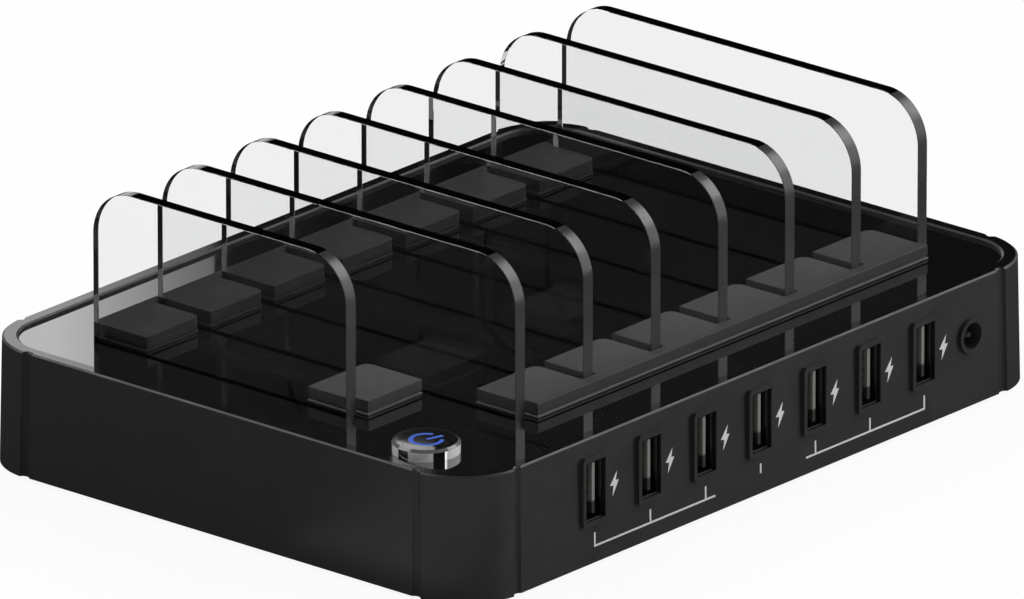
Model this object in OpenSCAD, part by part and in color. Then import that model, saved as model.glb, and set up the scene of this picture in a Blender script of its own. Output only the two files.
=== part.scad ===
// Charging station with eight clear dividers, seven upright sockets and a power button.
// Millimetres. Origin at the middle of the footprint, +Z up, the socket face looks along -Y.

/* [Housing] */
// Length over the two short faces, at the rim
housing_len = 182.4; // [176:0.1:200]
// Depth over the two long faces, at the rim
housing_dep = 134.1; // [126:0.1:150]
// Height of the moulded housing
housing_h = 27.2; // [26:0.1:32]
// How far each side leans out from rim to foot
housing_flare = 0.47; // [0.2:0.01:0.8]
// Thickness of the outer wall
wall_t = 2.4; // [2:0.1:2.8]
// Thickness of the roof under the deck panel
roof_t = 1.6; // [1.2:0.1:2]
// Radius of the four corner columns
corner_r = 14.72; // [12:0.01:16]
// How far the corner columns stand out from the flat faces
corner_proud = 0.27; // [0.1:0.01:0.4]
// Radius of the grooves beside the corner columns
groove_r = 1.4; // [1.2:0.1:1.8]
// Depth of those grooves
groove_depth = 0.6; // [0.4:0.1:0.8]
// Width of the rim round the deck
rim_w = 3; // [2.8:0.1:3.6]
// Bevel on the rim's two edges
rim_edge = 0.35; // [0.2:0.05:0.5]
// Thickness of the stiffening ribs under the roof
rib_t = 1.2; // [1:0.1:1.6]
// Depth of those ribs
rib_h = 3; // [2:0.1:3.4]

/* [Deck] */
// How far the deck lies below the rim
deck_drop = 0.8; // [0.5:0.1:1.2]
// Thickness of the deck panel
deck_t = 2; // [1.6:0.1:2.4]
// Gap round the deck panel
deck_gap = 0.1; // [0.05:0.01:0.2]

/* [Dividers] */
// Number of dividers
divider_count = 8; // [4:1:8]
// Thickness of a divider
divider_t = 3; // [2:0.1:3.4]
// Distance from each end of the housing to the middle of the outermost divider
divider_margin = 16.65; // [16:0.05:24]
// Distance from each long side of the housing to the ends of the dividers
divider_end_margin = 19.25; // [17.5:0.05:22]
// Distance from the socket face to the front end of the short divider
short_end_margin = 46.25; // [44:0.05:56]
// Height of the dividers above the deck
divider_h = 34.2; // [25:0.1:45]
// Radius of the dividers' top corners
divider_r = 10.3; // [6:0.1:14]
// Gap on each side of a divider in its slot
slot_gap = 0.06; // [0.03:0.01:0.1]

/* [Pad rails] */
// Depth of a tooth along the divider, measured from the divider's end
tooth_len = 12.6; // [10:0.1:16]
// How far the rail's spine reaches past the dividers' ends
spine_w = 2.9; // [2.4:0.1:3.4]
// Gap between a tooth and the divider beside it
tooth_gap = 0.6; // [0.4:0.05:0.8]
// Gap between a divider's end and the spine
spine_gap = 0.15; // [0.1:0.05:0.3]
// Thickness of the rail's foot
pad_foot_h = 0.5; // [0.4:0.05:0.8]
// Height of the shadow groove above the foot
pad_neck_h = 0.45; // [0.3:0.05:0.8]
// Depth of the shadow groove
pad_neck_in = 0.5; // [0.3:0.05:0.8]
// Thickness of the pad
pad_h = 2.4; // [2:0.1:3.2]
// How far the pad stays inside its foot
pad_in = 0.12; // [0.05:0.01:0.3]
// Radius of a tooth's round corner
tooth_r = 2; // [1:0.1:3]
// Rounding along the pad's outer top edge
pad_edge_r = 0.8; // [0.4:0.1:1.2]
// Radius of the pegs that locate the rails
peg_r = 1.3; // [1:0.05:1.6]
// Depth of the short pad block beside the short divider
block_dep = 15.3; // [12:0.1:18]
// Distance from the short divider's end to the block's end
block_over = 2.7; // [2:0.1:3.2]

/* [Sockets] */
// Number of sockets
port_count = 7; // [3:1:7]
// Distance from the housing's end to the middle of the first socket
port_margin = 37.7; // [36:0.1:40]
// Distance from the middle of the last socket to the housing's other end
port_jack_margin = 40; // [38:0.1:42]
// Height of the sockets' middle
port_z = 17.05; // [16.8:0.05:17.2]
// Width of a raised port frame
frame_w = 7.8; // [7.4:0.1:9]
// Height of a raised port frame
frame_h = 15; // [14.6:0.1:16]
// How far a frame stands out from the face
frame_proud = 1; // [0.6:0.1:1.4]
// Corner radius of a frame
frame_r = 1; // [0.5:0.1:1.5]
// Width of a frame's opening
opening_w = 6; // [5.4:0.1:6]
// Height of a frame's opening
opening_h = 12.9; // [12.6:0.1:13]
// Depth of the lip that covers the socket's edge
lip_t = 0.8; // [0.6:0.1:1]
// Width of a socket's metal shell
usb_w = 5.7; // [5.6:0.05:5.8]
// Height of a socket's metal shell
usb_h = 13.1; // [13:0.05:13.2]
// Length of a socket's metal shell
usb_len = 14; // [12:0.1:15]
// Sheet thickness of the metal shell
usb_t = 0.3; // [0.25:0.01:0.35]
// Corner radius of the metal shell
usb_r = 0.6; // [0.5:0.05:0.8]
// Thickness of the tongue
tongue_t = 1.84; // [1.8:0.01:1.9]
// Height of the tongue
tongue_h = 11; // [10.8:0.1:11.2]
// Sideways shift of the tongue from the socket's middle
tongue_shift = 0.8; // [0.6:0.05:0.9]
// Length of the tongue in front of its block
tongue_len = 9; // [8.5:0.1:9.4]
// Setback of the tongue behind the front edge of the metal shell
tongue_back = 0.4; // [0.1:0.1:0.8]

/* [Power socket] */
// Distance from the power socket's axis to the housing's end
jack_margin = 24.7; // [24:0.1:26]
// Height of the power socket's axis
jack_z = 16.6; // [16.4:0.1:17]
// Radius of the barrel
jack_r = 3.75; // [3.6:0.05:4]
// Radius of the bore
jack_bore_r = 2.85; // [2.8:0.05:2.95]
// Depth of the bore
jack_bore_len = 9.6; // [9:0.1:10]
// How far the barrel stands out from the face
jack_proud = 0.9; // [0.5:0.1:1.2]
// Width of the socket's block
jack_w = 9; // [8.6:0.1:10]
// Radius of the centre pin
jack_pin_r = 1; // [0.95:0.01:1.05]

/* [Button] */
// Distance from the button's axis to the housing's short face
button_margin_x = 11.8; // [11.6:0.1:12.4]
// Distance from the button's axis to the socket face
button_margin_y = 21.95; // [21:0.05:23]
// Radius of the chrome ring
ring_r = 7.08; // [6.8:0.01:7.2]
// Height of the ring's straight side above the deck
ring_h = 1.93; // [1.6:0.01:2.2]
// Height of the ring's bevel
ring_bevel_h = 0.5; // [0.3:0.05:0.7]
// Radius of the cap inside the ring
cap_r = 6.4; // [6.2:0.05:6.5]
// Travel of the button
button_travel = 0.8; // [0.4:0.1:0.8]
// Gap between the ring and the deck
ring_gap = 0.08; // [0.05:0.01:0.1]
// Outer radius of the standby symbol
symbol_r = 3.7; // [3:0.1:4.2]
// Stroke of the standby symbol
symbol_w = 1; // [0.7:0.1:1.2]
// Direction of the symbol's bar
symbol_turn = -17; // [-180:1:180]

/* [Base and boards] */
// Height of a foot below the housing
foot_h = 1; // [0.8:0.1:3]
// Radius of a foot
foot_r = 6; // [4:0.5:7]
// Thickness of the bottom cover's floor
floor_t = 2; // [1.8:0.1:2.4]
// Gap round the bottom cover
pan_gap = 0.2; // [0.1:0.05:0.3]
// Thickness of the main board
board_t = 1.6; // [1.2:0.1:2]
// Distance from the housing's end to the main board, on the button's side
board_margin = 29.2; // [28:0.2:31]
// Distance from the main board to the housing's other end
board_jack_margin = 15.2; // [14:0.2:17]
// Depth of the main board
board_dep = 52; // [46:0.5:56]
// Radius of a case screw's shank
screw_r = 1.45; // [1.2:0.05:1.5]
// Radius of a board screw's shank
small_screw_r = 1; // [0.8:0.05:1.2]

/* [Hidden] */

// Overrun of every cut past the face it opens
over = 0.5;
// Segments of small, medium and large rounds
fine = 32;
round = 64;
smooth = 96;
// Clearance between pieces that are fixed to each other
seat_gap = 0.05;
// Clearance of a pin in its hole
pin_gap = 0.05;

// Levels
z_base = foot_h;
z_rim = z_base + housing_h;
z_deck = z_rim - deck_drop;
z_roof = z_deck - deck_t;
z_ceiling = z_roof - roof_t;
z_floor = z_base + floor_t;
z_board = port_z - usb_h / 2;
z_board_under = z_board - board_t;
z_divider = z_deck + divider_h;

// Places of the faces
half_len = housing_len / 2;
half_dep = housing_dep / 2;
face_y = half_dep + housing_flare * (z_rim - port_z) / housing_h;
frame_y = face_y + frame_proud;
wall_y = half_dep - wall_t;
usb_front_y = frame_y - lip_t - seat_gap;
port_pitch = (housing_len - port_margin - port_jack_margin) / (port_count - 1);
port_start_x = -half_len + port_margin;
jack_x = half_len - jack_margin;
button_x = -half_len + button_margin_x;
button_y = -half_dep + button_margin_y;

// Corner columns
corner_in = corner_r - corner_proud;
corner_x = half_len - corner_in;
corner_y = half_dep - corner_in;
inner_corner_r = corner_r - wall_t;
recess_corner_r = corner_r - rim_w;

// Dividers
divider_pitch = (housing_len - 2 * divider_margin) / (divider_count - 1);
first_divider_x = -half_len + divider_margin;
short_divider = 1;
divider_end = half_dep - divider_end_margin;
short_end = -half_dep + short_end_margin;

// Rails
tooth_w = divider_pitch - divider_t - 2 * tooth_gap;
rail_out = divider_end + spine_w;
rail_in = divider_end - tooth_len;
rail_h = pad_foot_h + pad_neck_h + pad_h;

// Pairs of ribs beside the middle one, under every second divider
rib_pairs = 1;

// Screw columns of the housing
column_margin_x = 11.2;
column_margin_y = 9.05;
column_x = half_len - column_margin_x;
column_y = half_dep - column_margin_y;
column_r = 3.5;
pan_column_h = 3;
case_head_r = 2.8;
case_head_h = 1.7;
head_room = 0.25;
case_screw_len = 12;

// Feet
foot_margin_x = 23.2;
foot_margin_y = 17.05;
foot_x = half_len - foot_margin_x;
foot_y = half_dep - foot_margin_y;
foot_sink = 0.8;
foot_taper = 0.5;

// Bottom cover
lip_h = 4;
pan_lip_t = 1.2;
vent_count = 9;
vent_w = 2;
vent_len = 26;
vent_pitch = 5;

// Contacts of a socket
outer_contact_z = 3.5;
inner_contact_z = 1;
contact_z = [-outer_contact_z, -inner_contact_z, inner_contact_z, outer_contact_z];
contact_w = 1;
contact_t = 0.25;
contact_back = 0.9;
leg_w = 0.6;
leg_inset = 0.7;
leg_pitch = 1.1;
leg_end = 0.6;
leg_hole_r = 0.5;
tab_w = 1.6;
tab_pitch = 5;
tab_inset = 4.5;
tab_len = 2.2;

// Insulator of a socket
block_front_y = -usb_front_y + tongue_back + tongue_len;
block_back_y = -usb_front_y + usb_len;
tongue_face = tongue_shift - tongue_t / 2;

// Main board and what it carries
board_len = housing_len - board_margin - board_jack_margin;
board_x = (board_margin - board_jack_margin) / 2;
board_front_y = -(wall_y - seat_gap * 5);
board_y = board_front_y + board_dep / 2;
standoff_r = 3;
standoff_in_x = 4.5;
small_head_r = 2;
standoff_in_y = block_back_y - board_front_y + small_head_r + 2 * seat_gap;
standoff_share = 0.65;
vent_share = 0.66;
vent_y = board_front_y + board_dep * vent_share;
small_head_h = 1.3;
small_screw_len = 5.5;

standoff_places = [
    [board_x - board_len / 2 + standoff_in_x, board_front_y + standoff_in_y],
    [board_x + board_len / 2 - standoff_in_x, board_front_y + standoff_in_y + standoff_in_x],
    [board_x - board_len / 2 + standoff_in_x, board_front_y + board_dep * standoff_share],
    [board_x + board_len / 2 - standoff_in_x, board_front_y + board_dep * standoff_share],
];

// Parts on the main board, placed from its left rear corner
part_x = board_x - board_len / 2;
part_y = board_front_y + board_dep;
parts_dep = part_y - block_back_y - leg_inset - len(contact_z) * leg_pitch;
coil_w = 8;
coil_h = 4.5;
coil_r = 3.4;
coil_start_share = 0.16;
coil_start = board_len * coil_start_share;
coil_pitch_share = 0.1;
coil_pitch = board_len * coil_pitch_share;
coil_row_share = 0.22;
coil_row = parts_dep * coil_row_share;
coil_count = 4;
can_r = 4;
can_h = 9;
can_base_h = 0.8;
can_start_share = 0.62;
can_start = board_len * can_start_share;
can_pitch_share = 0.08;
can_pitch = board_len * can_pitch_share;
can_count = 3;
chip_w = 5;
chip_d = 6;
chip_h = 1.5;
chip_row_share = 0.61;
chip_row = parts_dep * chip_row_share;
sink_w_share = 0.17;
sink_w = board_len * sink_w_share;
sink_d_share = 0.44;
sink_d = parts_dep * sink_d_share;
sink_h = 8;
sink_base_h = 2;
fin_count = 7;
fin_t = 1.2;
sink_x_share = 0.7;
sink_x = board_len * sink_x_share;
sink_row_share = 0.67;
sink_row = parts_dep * sink_row_share;

// Power socket
jack_len = 13.5;
jack_top = 4.9;
jack_step_gap = 0.15;
jack_pin_back = 1;
jack_pin_root = 2.6;
jack_root_r = 1.3;
spring_w = 2;
spring_t = 0.4;
spring_rise = 0.5;

// Button
ring_t = 0.62;
flange_r = 8.2;
flange_h = 1.2;
flange_gap = 0.1;
roof_hole_gap = 0.5;
cap_h = 1.6;
cap_sink = 0.05;
stem_r = 1.7;
stem_len = 6.4;
web_t = 1.4;
symbol_t = 0.6;
symbol_gap_angle = 34;
bar_len = 4;
switch_w = 6;
switch_h = 3.5;
plunger_r = 1.6;
plunger_rise = button_travel + 2 * seat_gap;
plunger_len = 2.8;
button_board_len = 20.5;
button_board_dep = 16;
button_board_t = 1.2;
button_board_shift = 2.15;
hang_x = 7.6;
hang_r = 2.2;
hang_screw_len = 4.5;
cap_z = z_deck + ring_h + ring_bevel_h;
stem_z = cap_z - cap_h - stem_len;
z_switch_top = stem_z - plunger_rise;
z_button_board = z_switch_top - switch_h;
button_board_x = button_x + button_board_shift;

// Lamp beside the switch
led_shift = 5.2;
led_r = 1.5;
led_h = 1.2;
led_base_w = 3.2;
led_base_h = 0.7;

// Ribbon lead from the button board to the main board
lead_w = 5;
lead_t = 0.9;
lead_r = 2.2;
plug_len = 3;
plug_w = 7;
plug_h = 3;
plug_wall = 0.9;
hang_y = plug_w / 2 + hang_r + 2 * seat_gap;
lead_y = button_y;
lead_start_x = button_board_x + button_board_len / 2 - plug_len / 2;
main_plug_x = board_x - board_len / 2 + plug_len;
lead_top_z = z_button_board + plug_h / 2;
lead_low_z = z_board + plug_h / 2;

/* Small helpers */
module rounded_rect(w, d, r, seg = fine) {
    square([w - 2 * r, d], center = true);
    square([w, d - 2 * r], center = true);
    for (sx = [-1, 1], sy = [-1, 1])
        translate([sx * (w / 2 - r), sy * (d / 2 - r)])
            circle(r, $fn = seg);
}

module rounded_slab(w, d, h, r, seg = fine)
    linear_extrude(h)
        rounded_rect(w, d, r, seg);

// Extrudes a shape drawn in X and Z backwards from the plane y
module along_y(y, len)
    translate([0, y + len, 0])
        rotate([90, 0, 0])
            linear_extrude(len)
                children();

// Extrudes a shape drawn in Y and Z along X from the plane x
module along_x(x, len)
    translate([x, 0, 0])
        rotate([90, 0, 90])
            linear_extrude(len)
                children();

module four_corners(x, y)
    for (sx = [-1, 1], sy = [-1, 1])
        translate([sx * x, sy * y, 0])
            children();

function divider_x(k) = first_divider_x + (k - 1) * divider_pitch;
function port_x(k) = port_start_x + (k - 1) * port_pitch;

/* Housing */
// Outline at the rim: flat faces, four proud corner columns and eight grooves
module rim_outline() {
    difference() {
        union() {
            square([2 * corner_x, housing_dep], center = true);
            square([housing_len, 2 * corner_y], center = true);
            for (sx = [-1, 1], sy = [-1, 1])
                intersection() {
                    translate([sx * corner_x, sy * corner_y])
                        circle(corner_r, $fn = smooth);
                    translate([sx * (corner_x + corner_r) - corner_r, sy * (corner_y + corner_r) - corner_r])
                        square(2 * corner_r);
                }
        }
        for (sx = [-1, 1], sy = [-1, 1]) {
            translate([sx * corner_x, sy * (half_dep + groove_r - groove_depth)])
                circle(groove_r, $fn = fine);
            translate([sx * (half_len + groove_r - groove_depth), sy * corner_y])
                circle(groove_r, $fn = fine);
        }
    }
}

// The solid block of the housing, leaning outwards to its foot, with a bevelled rim
module housing_block() {
    lean = 2 * housing_flare;
    bevel = 2 * rim_edge;
    translate([0, 0, z_rim - rim_edge])
        mirror([0, 0, 1])
            linear_extrude(housing_h - rim_edge, slices = 1,
                    scale = [(housing_len + lean) / housing_len, (housing_dep + lean) / housing_dep])
                rim_outline();
    translate([0, 0, z_rim - rim_edge])
        linear_extrude(rim_edge, slices = 1,
                scale = [(housing_len - bevel) / housing_len, (housing_dep - bevel) / housing_dep])
            rim_outline();
}

// The recess for the deck, with its bevelled mouth
module deck_recess() {
    w = housing_len - 2 * rim_w;
    d = housing_dep - 2 * rim_w;
    flare = 2 * (rim_edge + over);
    translate([0, 0, z_roof])
        rounded_slab(w, d, deck_t + deck_drop + over, recess_corner_r, smooth);
    translate([0, 0, z_rim - rim_edge])
        linear_extrude(rim_edge + over, slices = 1, scale = [(w + flare) / w, (d + flare) / d])
            rounded_rect(w, d, recess_corner_r, smooth);
}

// Ribs under the roof, behind the sockets
module roof_ribs() {
    rib_from = -(wall_y - usb_len - 2 * wall_t);
    rib_to = wall_y - over;
    for (k = [-rib_pairs : rib_pairs])
        translate([k * 2 * divider_pitch - rib_t / 2, rib_from, z_ceiling - rib_h])
            cube([rib_t, rib_to - rib_from, rib_h + over]);
    for (y = [-divider_pitch, divider_pitch])
        translate([-corner_x, y - rib_t / 2, z_ceiling - rib_h])
            cube([2 * corner_x, rib_t, rib_h + over]);
}

module body_shell() {
    column_foot = z_floor + pan_column_h;
    color([0.16, 0.16, 0.165])
    difference() {
        union() {
            difference() {
                union() {
                    housing_block();
                    for (k = [1 : port_count])
                        along_y(-frame_y, frame_y - wall_y)
                            translate([port_x(k), port_z])
                                rounded_rect(frame_w, frame_h, frame_r);
                }
                translate([0, 0, z_base - over])
                    rounded_slab(housing_len - 2 * wall_t, housing_dep - 2 * wall_t,
                        z_ceiling - z_base + over, inner_corner_r, smooth);
                deck_recess();
            }
            roof_ribs();
            four_corners(column_x, column_y)
                translate([0, 0, column_foot])
                    cylinder(h = z_ceiling - column_foot + roof_t / 2, r = column_r, $fn = fine);
            for (side = [-1, 1])
                translate([button_board_x + hang_x, button_y + side * hang_y, z_button_board])
                    cylinder(h = z_ceiling - z_button_board + roof_t / 2, r = hang_r, $fn = fine);
        }
        four_corners(column_x, column_y)
            translate([0, 0, column_foot - over])
                cylinder(h = case_screw_len, r = screw_r + pin_gap, $fn = fine);
        for (side = [-1, 1])
            translate([button_board_x + hang_x, button_y + side * hang_y, z_button_board - over])
                cylinder(h = hang_screw_len, r = small_screw_r + pin_gap, $fn = fine);
        translate([button_x, button_y, z_ceiling - over])
            cylinder(h = roof_t + 2 * over, r = ring_r + roof_hole_gap, $fn = round);
        for (k = [1 : port_count])
            translate([port_x(k), 0, port_z]) {
                along_y(-frame_y - over, frame_y - wall_y + 2 * over)
                    square([opening_w, opening_h], center = true);
                along_y(-frame_y + lip_t, frame_y - lip_t - wall_y + over)
                    square([usb_w + 4 * seat_gap, usb_h + 2 * seat_gap], center = true);
            }
        translate([jack_x, -wall_y + over, jack_z])
            rotate([90, 0, 0])
                cylinder(h = frame_y - wall_y + 2 * over, r = jack_r + pin_gap, $fn = round);
    }
}

/* Deck */
module deck_panel() {
    w = housing_len - 2 * (rim_w + deck_gap);
    d = housing_dep - 2 * (rim_w + deck_gap);
    color([0.05, 0.05, 0.055])
    difference() {
        translate([0, 0, z_roof])
            rounded_slab(w, d, deck_t, recess_corner_r - deck_gap, smooth);
        for (k = [1 : divider_count])
            translate([0, 0, z_roof - over])
                divider_slot(k, deck_t + 2 * over);
        translate([button_x, button_y, z_roof - over])
            cylinder(h = deck_t + 2 * over, r = ring_r + ring_gap, $fn = round);
        translate([0, 0, z_roof - over])
            rail_pegs(deck_t + 2 * over, peg_r + pin_gap);
    }
}

module divider_slot(k, h) {
    from = (k == short_divider ? short_end : -divider_end) - slot_gap;
    translate([divider_x(k) - divider_t / 2 - slot_gap, from, 0])
        cube([divider_t + 2 * slot_gap, divider_end + slot_gap - from, h]);
}

// Pegs under every tooth and under the block
module rail_pegs(h, r) {
    front_pegs(h, r);
    rear_pegs(h, r);
    block_peg(h, r);
}

module front_pegs(h, r)
    for (k = [short_divider + 1 : divider_count - 1])
        translate([divider_x(k) + divider_pitch / 2, -(rail_in + tooth_len / 2), 0])
            cylinder(h = h, r = r, $fn = fine);

module rear_pegs(h, r)
    for (k = [short_divider : divider_count - 1])
        translate([divider_x(k) + divider_pitch / 2, rail_in + tooth_len / 2, 0])
            cylinder(h = h, r = r, $fn = fine);

module block_peg(h, r)
    translate([divider_x(short_divider) + divider_pitch / 2, short_end - block_over + block_dep / 2, 0])
        cylinder(h = h, r = r, $fn = fine);

/* Rails */
// One pad seen from above, its near left corner at the origin, its far right corner round
module tooth_outline(w, d) {
    square([w - tooth_r, d]);
    square([w, d - tooth_r]);
    translate([w - tooth_r, d - tooth_r])
        circle(tooth_r, $fn = fine);
}

// A rail seen from above, drawn for the front: the spine at -rail_out, the teeth behind it
module rail_outline(first, inset) {
    from = divider_x(first) + divider_t / 2 + tooth_gap;
    to = divider_x(divider_count) - divider_t / 2 + spine_gap;
    translate([from + inset, -rail_out + inset])
        square([to - from - 2 * inset, spine_w - spine_gap - 2 * inset]);
    for (k = [first : divider_count - 1])
        translate([divider_x(k) + divider_t / 2 + tooth_gap + inset, -rail_out + inset])
            tooth_outline(tooth_w - 2 * inset, rail_out - rail_in - 2 * inset);
}

// The section of a rail's pad across its spine, with the rounded outer top edge
module pad_section() {
    d = rail_out - rail_in;
    translate([-rail_out + pad_edge_r, 0])
        square([d, rail_h + over]);
    translate([-rail_out, 0])
        square([pad_edge_r, rail_h - pad_edge_r]);
    translate([-rail_out + pad_edge_r, rail_h - pad_edge_r])
        circle(pad_edge_r, $fn = fine);
}

module comb_rail(first) {
    neck_z = pad_foot_h;
    pad_z = neck_z + pad_neck_h;
    translate([0, 0, z_deck]) {
        linear_extrude(pad_foot_h)
            rail_outline(first, 0);
        translate([0, 0, neck_z])
            linear_extrude(pad_neck_h)
                rail_outline(first, pad_neck_in);
        intersection() {
            translate([0, 0, pad_z])
                linear_extrude(pad_h)
                    rail_outline(first, pad_in);
            along_x(-half_len, housing_len)
                pad_section();
        }
    }
}

module front_rail()
    color([0.25, 0.25, 0.255]) {
        comb_rail(short_divider + 1);
        translate([0, 0, z_roof])
            front_pegs(deck_t + pad_foot_h / 2, peg_r);
    }

module rear_rail()
    color([0.25, 0.25, 0.255]) {
        mirror([0, 1, 0])
            comb_rail(short_divider);
        translate([0, 0, z_roof])
            rear_pegs(deck_t + pad_foot_h / 2, peg_r);
    }

module corner_block() {
    place_x = divider_x(short_divider) + divider_t / 2 + tooth_gap;
    place_y = short_end - block_over;
    color([0.25, 0.25, 0.255]) {
        translate([place_x, place_y, z_deck]) {
            linear_extrude(pad_foot_h)
                tooth_outline(tooth_w, block_dep);
            translate([pad_neck_in, pad_neck_in, pad_foot_h])
                linear_extrude(pad_neck_h)
                    tooth_outline(tooth_w - 2 * pad_neck_in, block_dep - 2 * pad_neck_in);
            translate([pad_in, pad_in, pad_foot_h + pad_neck_h])
                linear_extrude(pad_h)
                    tooth_outline(tooth_w - 2 * pad_in, block_dep - 2 * pad_in);
        }
        translate([0, 0, z_roof])
            block_peg(deck_t + pad_foot_h / 2, peg_r);
    }
}

/* Dividers */
module divider(k) {
    from = k == short_divider ? short_end : -divider_end;
    color([0.86, 0.88, 0.9, 0.4])
    along_x(divider_x(k) - divider_t / 2, divider_t) {
        translate([from, z_roof])
            square([divider_end - from, z_divider - z_roof - divider_r]);
        translate([from + divider_r, z_roof])
            square([divider_end - from - 2 * divider_r, z_divider - z_roof]);
        for (y = [from + divider_r, divider_end - divider_r])
            translate([y, z_divider - divider_r])
                circle(divider_r, $fn = smooth);
    }
}

/* Button */
module at_button()
    translate([button_x, button_y, 0])
        children();

// Turned ring: bevelled crown, long skirt and a flange that stops it under the roof
module button_ring() {
    skirt_z = z_ceiling - flange_gap - flange_h;
    inner_r = ring_r - ring_t;
    color([0.8, 0.8, 0.82])
    at_button()
        rotate_extrude($fn = smooth)
            polygon([
                [inner_r, skirt_z],
                [flange_r, skirt_z],
                [flange_r, skirt_z + flange_h],
                [ring_r, skirt_z + flange_h],
                [ring_r, z_deck + ring_h],
                [inner_r, cap_z],
            ]);
}

module symbol_shape(grow = 0) {
    rotate(symbol_turn) {
        difference() {
            circle(symbol_r + grow, $fn = round);
            circle(symbol_r - symbol_w - grow, $fn = round);
            polygon([
                [0, 0],
                2 * symbol_r * [cos(symbol_gap_angle), sin(symbol_gap_angle)],
                2 * symbol_r * [1, 0] / cos(symbol_gap_angle),
                2 * symbol_r * [cos(symbol_gap_angle), -sin(symbol_gap_angle)],
            ]);
        }
        translate([-grow, -symbol_w / 2 - grow])
            square([bar_len + 2 * grow, symbol_w + 2 * grow]);
    }
}

module button_cap() {
    color([0.07, 0.07, 0.075])
    at_button()
        difference() {
            union() {
                translate([0, 0, cap_z - cap_sink - cap_h])
                    cylinder(h = cap_h, r = cap_r, $fn = smooth);
                translate([0, 0, stem_z])
                    cylinder(h = stem_len + cap_h / 2, r = stem_r, $fn = fine);
                for (turn = [0, 90])
                    rotate(turn)
                        translate([-web_t / 2, -cap_r / 2, stem_z + stem_len / 2])
                            cube([web_t, cap_r, stem_len / 2 + cap_h / 2]);
            }
            translate([0, 0, cap_z - cap_sink - symbol_t])
                linear_extrude(symbol_t + over)
                    symbol_shape();
        }
}

module power_symbol()
    color([0.24, 0.37, 0.75])
    at_button()
        translate([0, 0, cap_z - cap_sink - symbol_t])
            linear_extrude(symbol_t)
                symbol_shape(-pin_gap);

module tact_switch()
    color([0.2, 0.2, 0.2])
    at_button()
        difference() {
            translate([0, 0, z_button_board])
                rounded_slab(switch_w, switch_w, switch_h, pad_edge_r);
            translate([0, 0, stem_z - plunger_len - plunger_rise])
                cylinder(h = switch_h, r = plunger_r + pin_gap, $fn = fine);
        }

module tact_plunger()
    color([0.75, 0.75, 0.72])
    at_button()
        translate([0, 0, stem_z - plunger_len])
            cylinder(h = plunger_len, r = plunger_r, $fn = fine);

module button_board()
    color([0.1, 0.3, 0.16])
    difference() {
        translate([button_board_x, button_y, z_button_board - button_board_t])
            rounded_slab(button_board_len, button_board_dep, button_board_t, pad_edge_r);
        for (side = [-1, 1])
            translate([button_board_x + hang_x, button_y + side * hang_y,
                    z_button_board - button_board_t - over])
                cylinder(h = button_board_t + 2 * over, r = small_screw_r + 2 * pin_gap, $fn = fine);
    }

module button_board_screws()
    color([0.7, 0.7, 0.72])
    for (side = [-1, 1])
        translate([button_board_x + hang_x, button_y + side * hang_y, z_button_board - button_board_t])
            board_screw(hang_screw_len - 2 * over);

// Small screw standing head down, its seat at the origin
module board_screw(len) {
    cylinder(h = len, r = small_screw_r, $fn = fine);
    translate([0, 0, -small_head_h])
        cylinder(h = small_head_h, r1 = small_head_r - small_head_h / 4, r2 = small_head_r, $fn = fine);
}

module power_led()
    color([0.6, 0.75, 0.95])
    translate([button_x + led_shift, button_y, z_button_board]) {
        translate([-led_base_w / 2, -led_base_w / 2, 0])
            cube([led_base_w, led_base_w, led_base_h]);
        translate([0, 0, led_base_h])
            cylinder(h = led_h, r1 = led_r, r2 = led_r * 2 / 3, $fn = fine);
    }

/* Ribbon lead */
// A quarter ring in the plane of X and Z
module quarter_band(cx, cz, sx, sz)
    intersection() {
        translate([cx, cz])
            difference() {
                circle(lead_r + lead_t / 2, $fn = fine);
                circle(lead_r - lead_t / 2, $fn = fine);
            }
        translate([cx + (sx > 0 ? 0 : -2 * lead_r), cz + (sz > 0 ? 0 : -2 * lead_r)])
            square(2 * lead_r);
    }

module button_lead() {
    plug_end = lead_start_x + plug_len / 2 - plug_wall;
    drop_x = (lead_start_x + main_plug_x) / 2;
    low_end = main_plug_x - plug_len / 2 + plug_wall;
    color([0.75, 0.75, 0.78])
    along_y_centred(lead_y, lead_w) {
        translate([plug_end, lead_top_z - lead_t / 2])
            square([drop_x - lead_r - plug_end, lead_t]);
        quarter_band(drop_x - lead_r, lead_top_z - lead_r, 1, 1);
        translate([drop_x - lead_t / 2, lead_low_z + lead_r])
            square([lead_t, lead_top_z - lead_low_z - 2 * lead_r]);
        quarter_band(drop_x + lead_r, lead_low_z + lead_r, -1, -1);
        translate([drop_x + lead_r, lead_low_z - lead_t / 2])
            square([low_end - drop_x - lead_r, lead_t]);
    }
}

module along_y_centred(y, len)
    along_y(y - len / 2, len)
        children();

module lead_connectors()
    color([0.9, 0.9, 0.86])
    for (side = [-1, 1])
        translate([side < 0 ? lead_start_x : main_plug_x, lead_y - plug_w / 2,
                side < 0 ? z_button_board : z_board])
            difference() {
                translate([-plug_len / 2, 0, 0])
                    cube([plug_len, plug_w, plug_h]);
                translate([side < 0 ? plug_len / 2 - plug_wall - seat_gap : -plug_len / 2 - over,
                        (plug_w - lead_w) / 2 - seat_gap, (plug_h - lead_t) / 2 - seat_gap])
                    cube([plug_wall + seat_gap + over, lead_w + 2 * seat_gap, lead_t + 2 * seat_gap]);
            }

/* Sockets */
module usb_outline(inset)
    rounded_rect(usb_w - 2 * inset, usb_h - 2 * inset, usb_r - inset);

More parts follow.
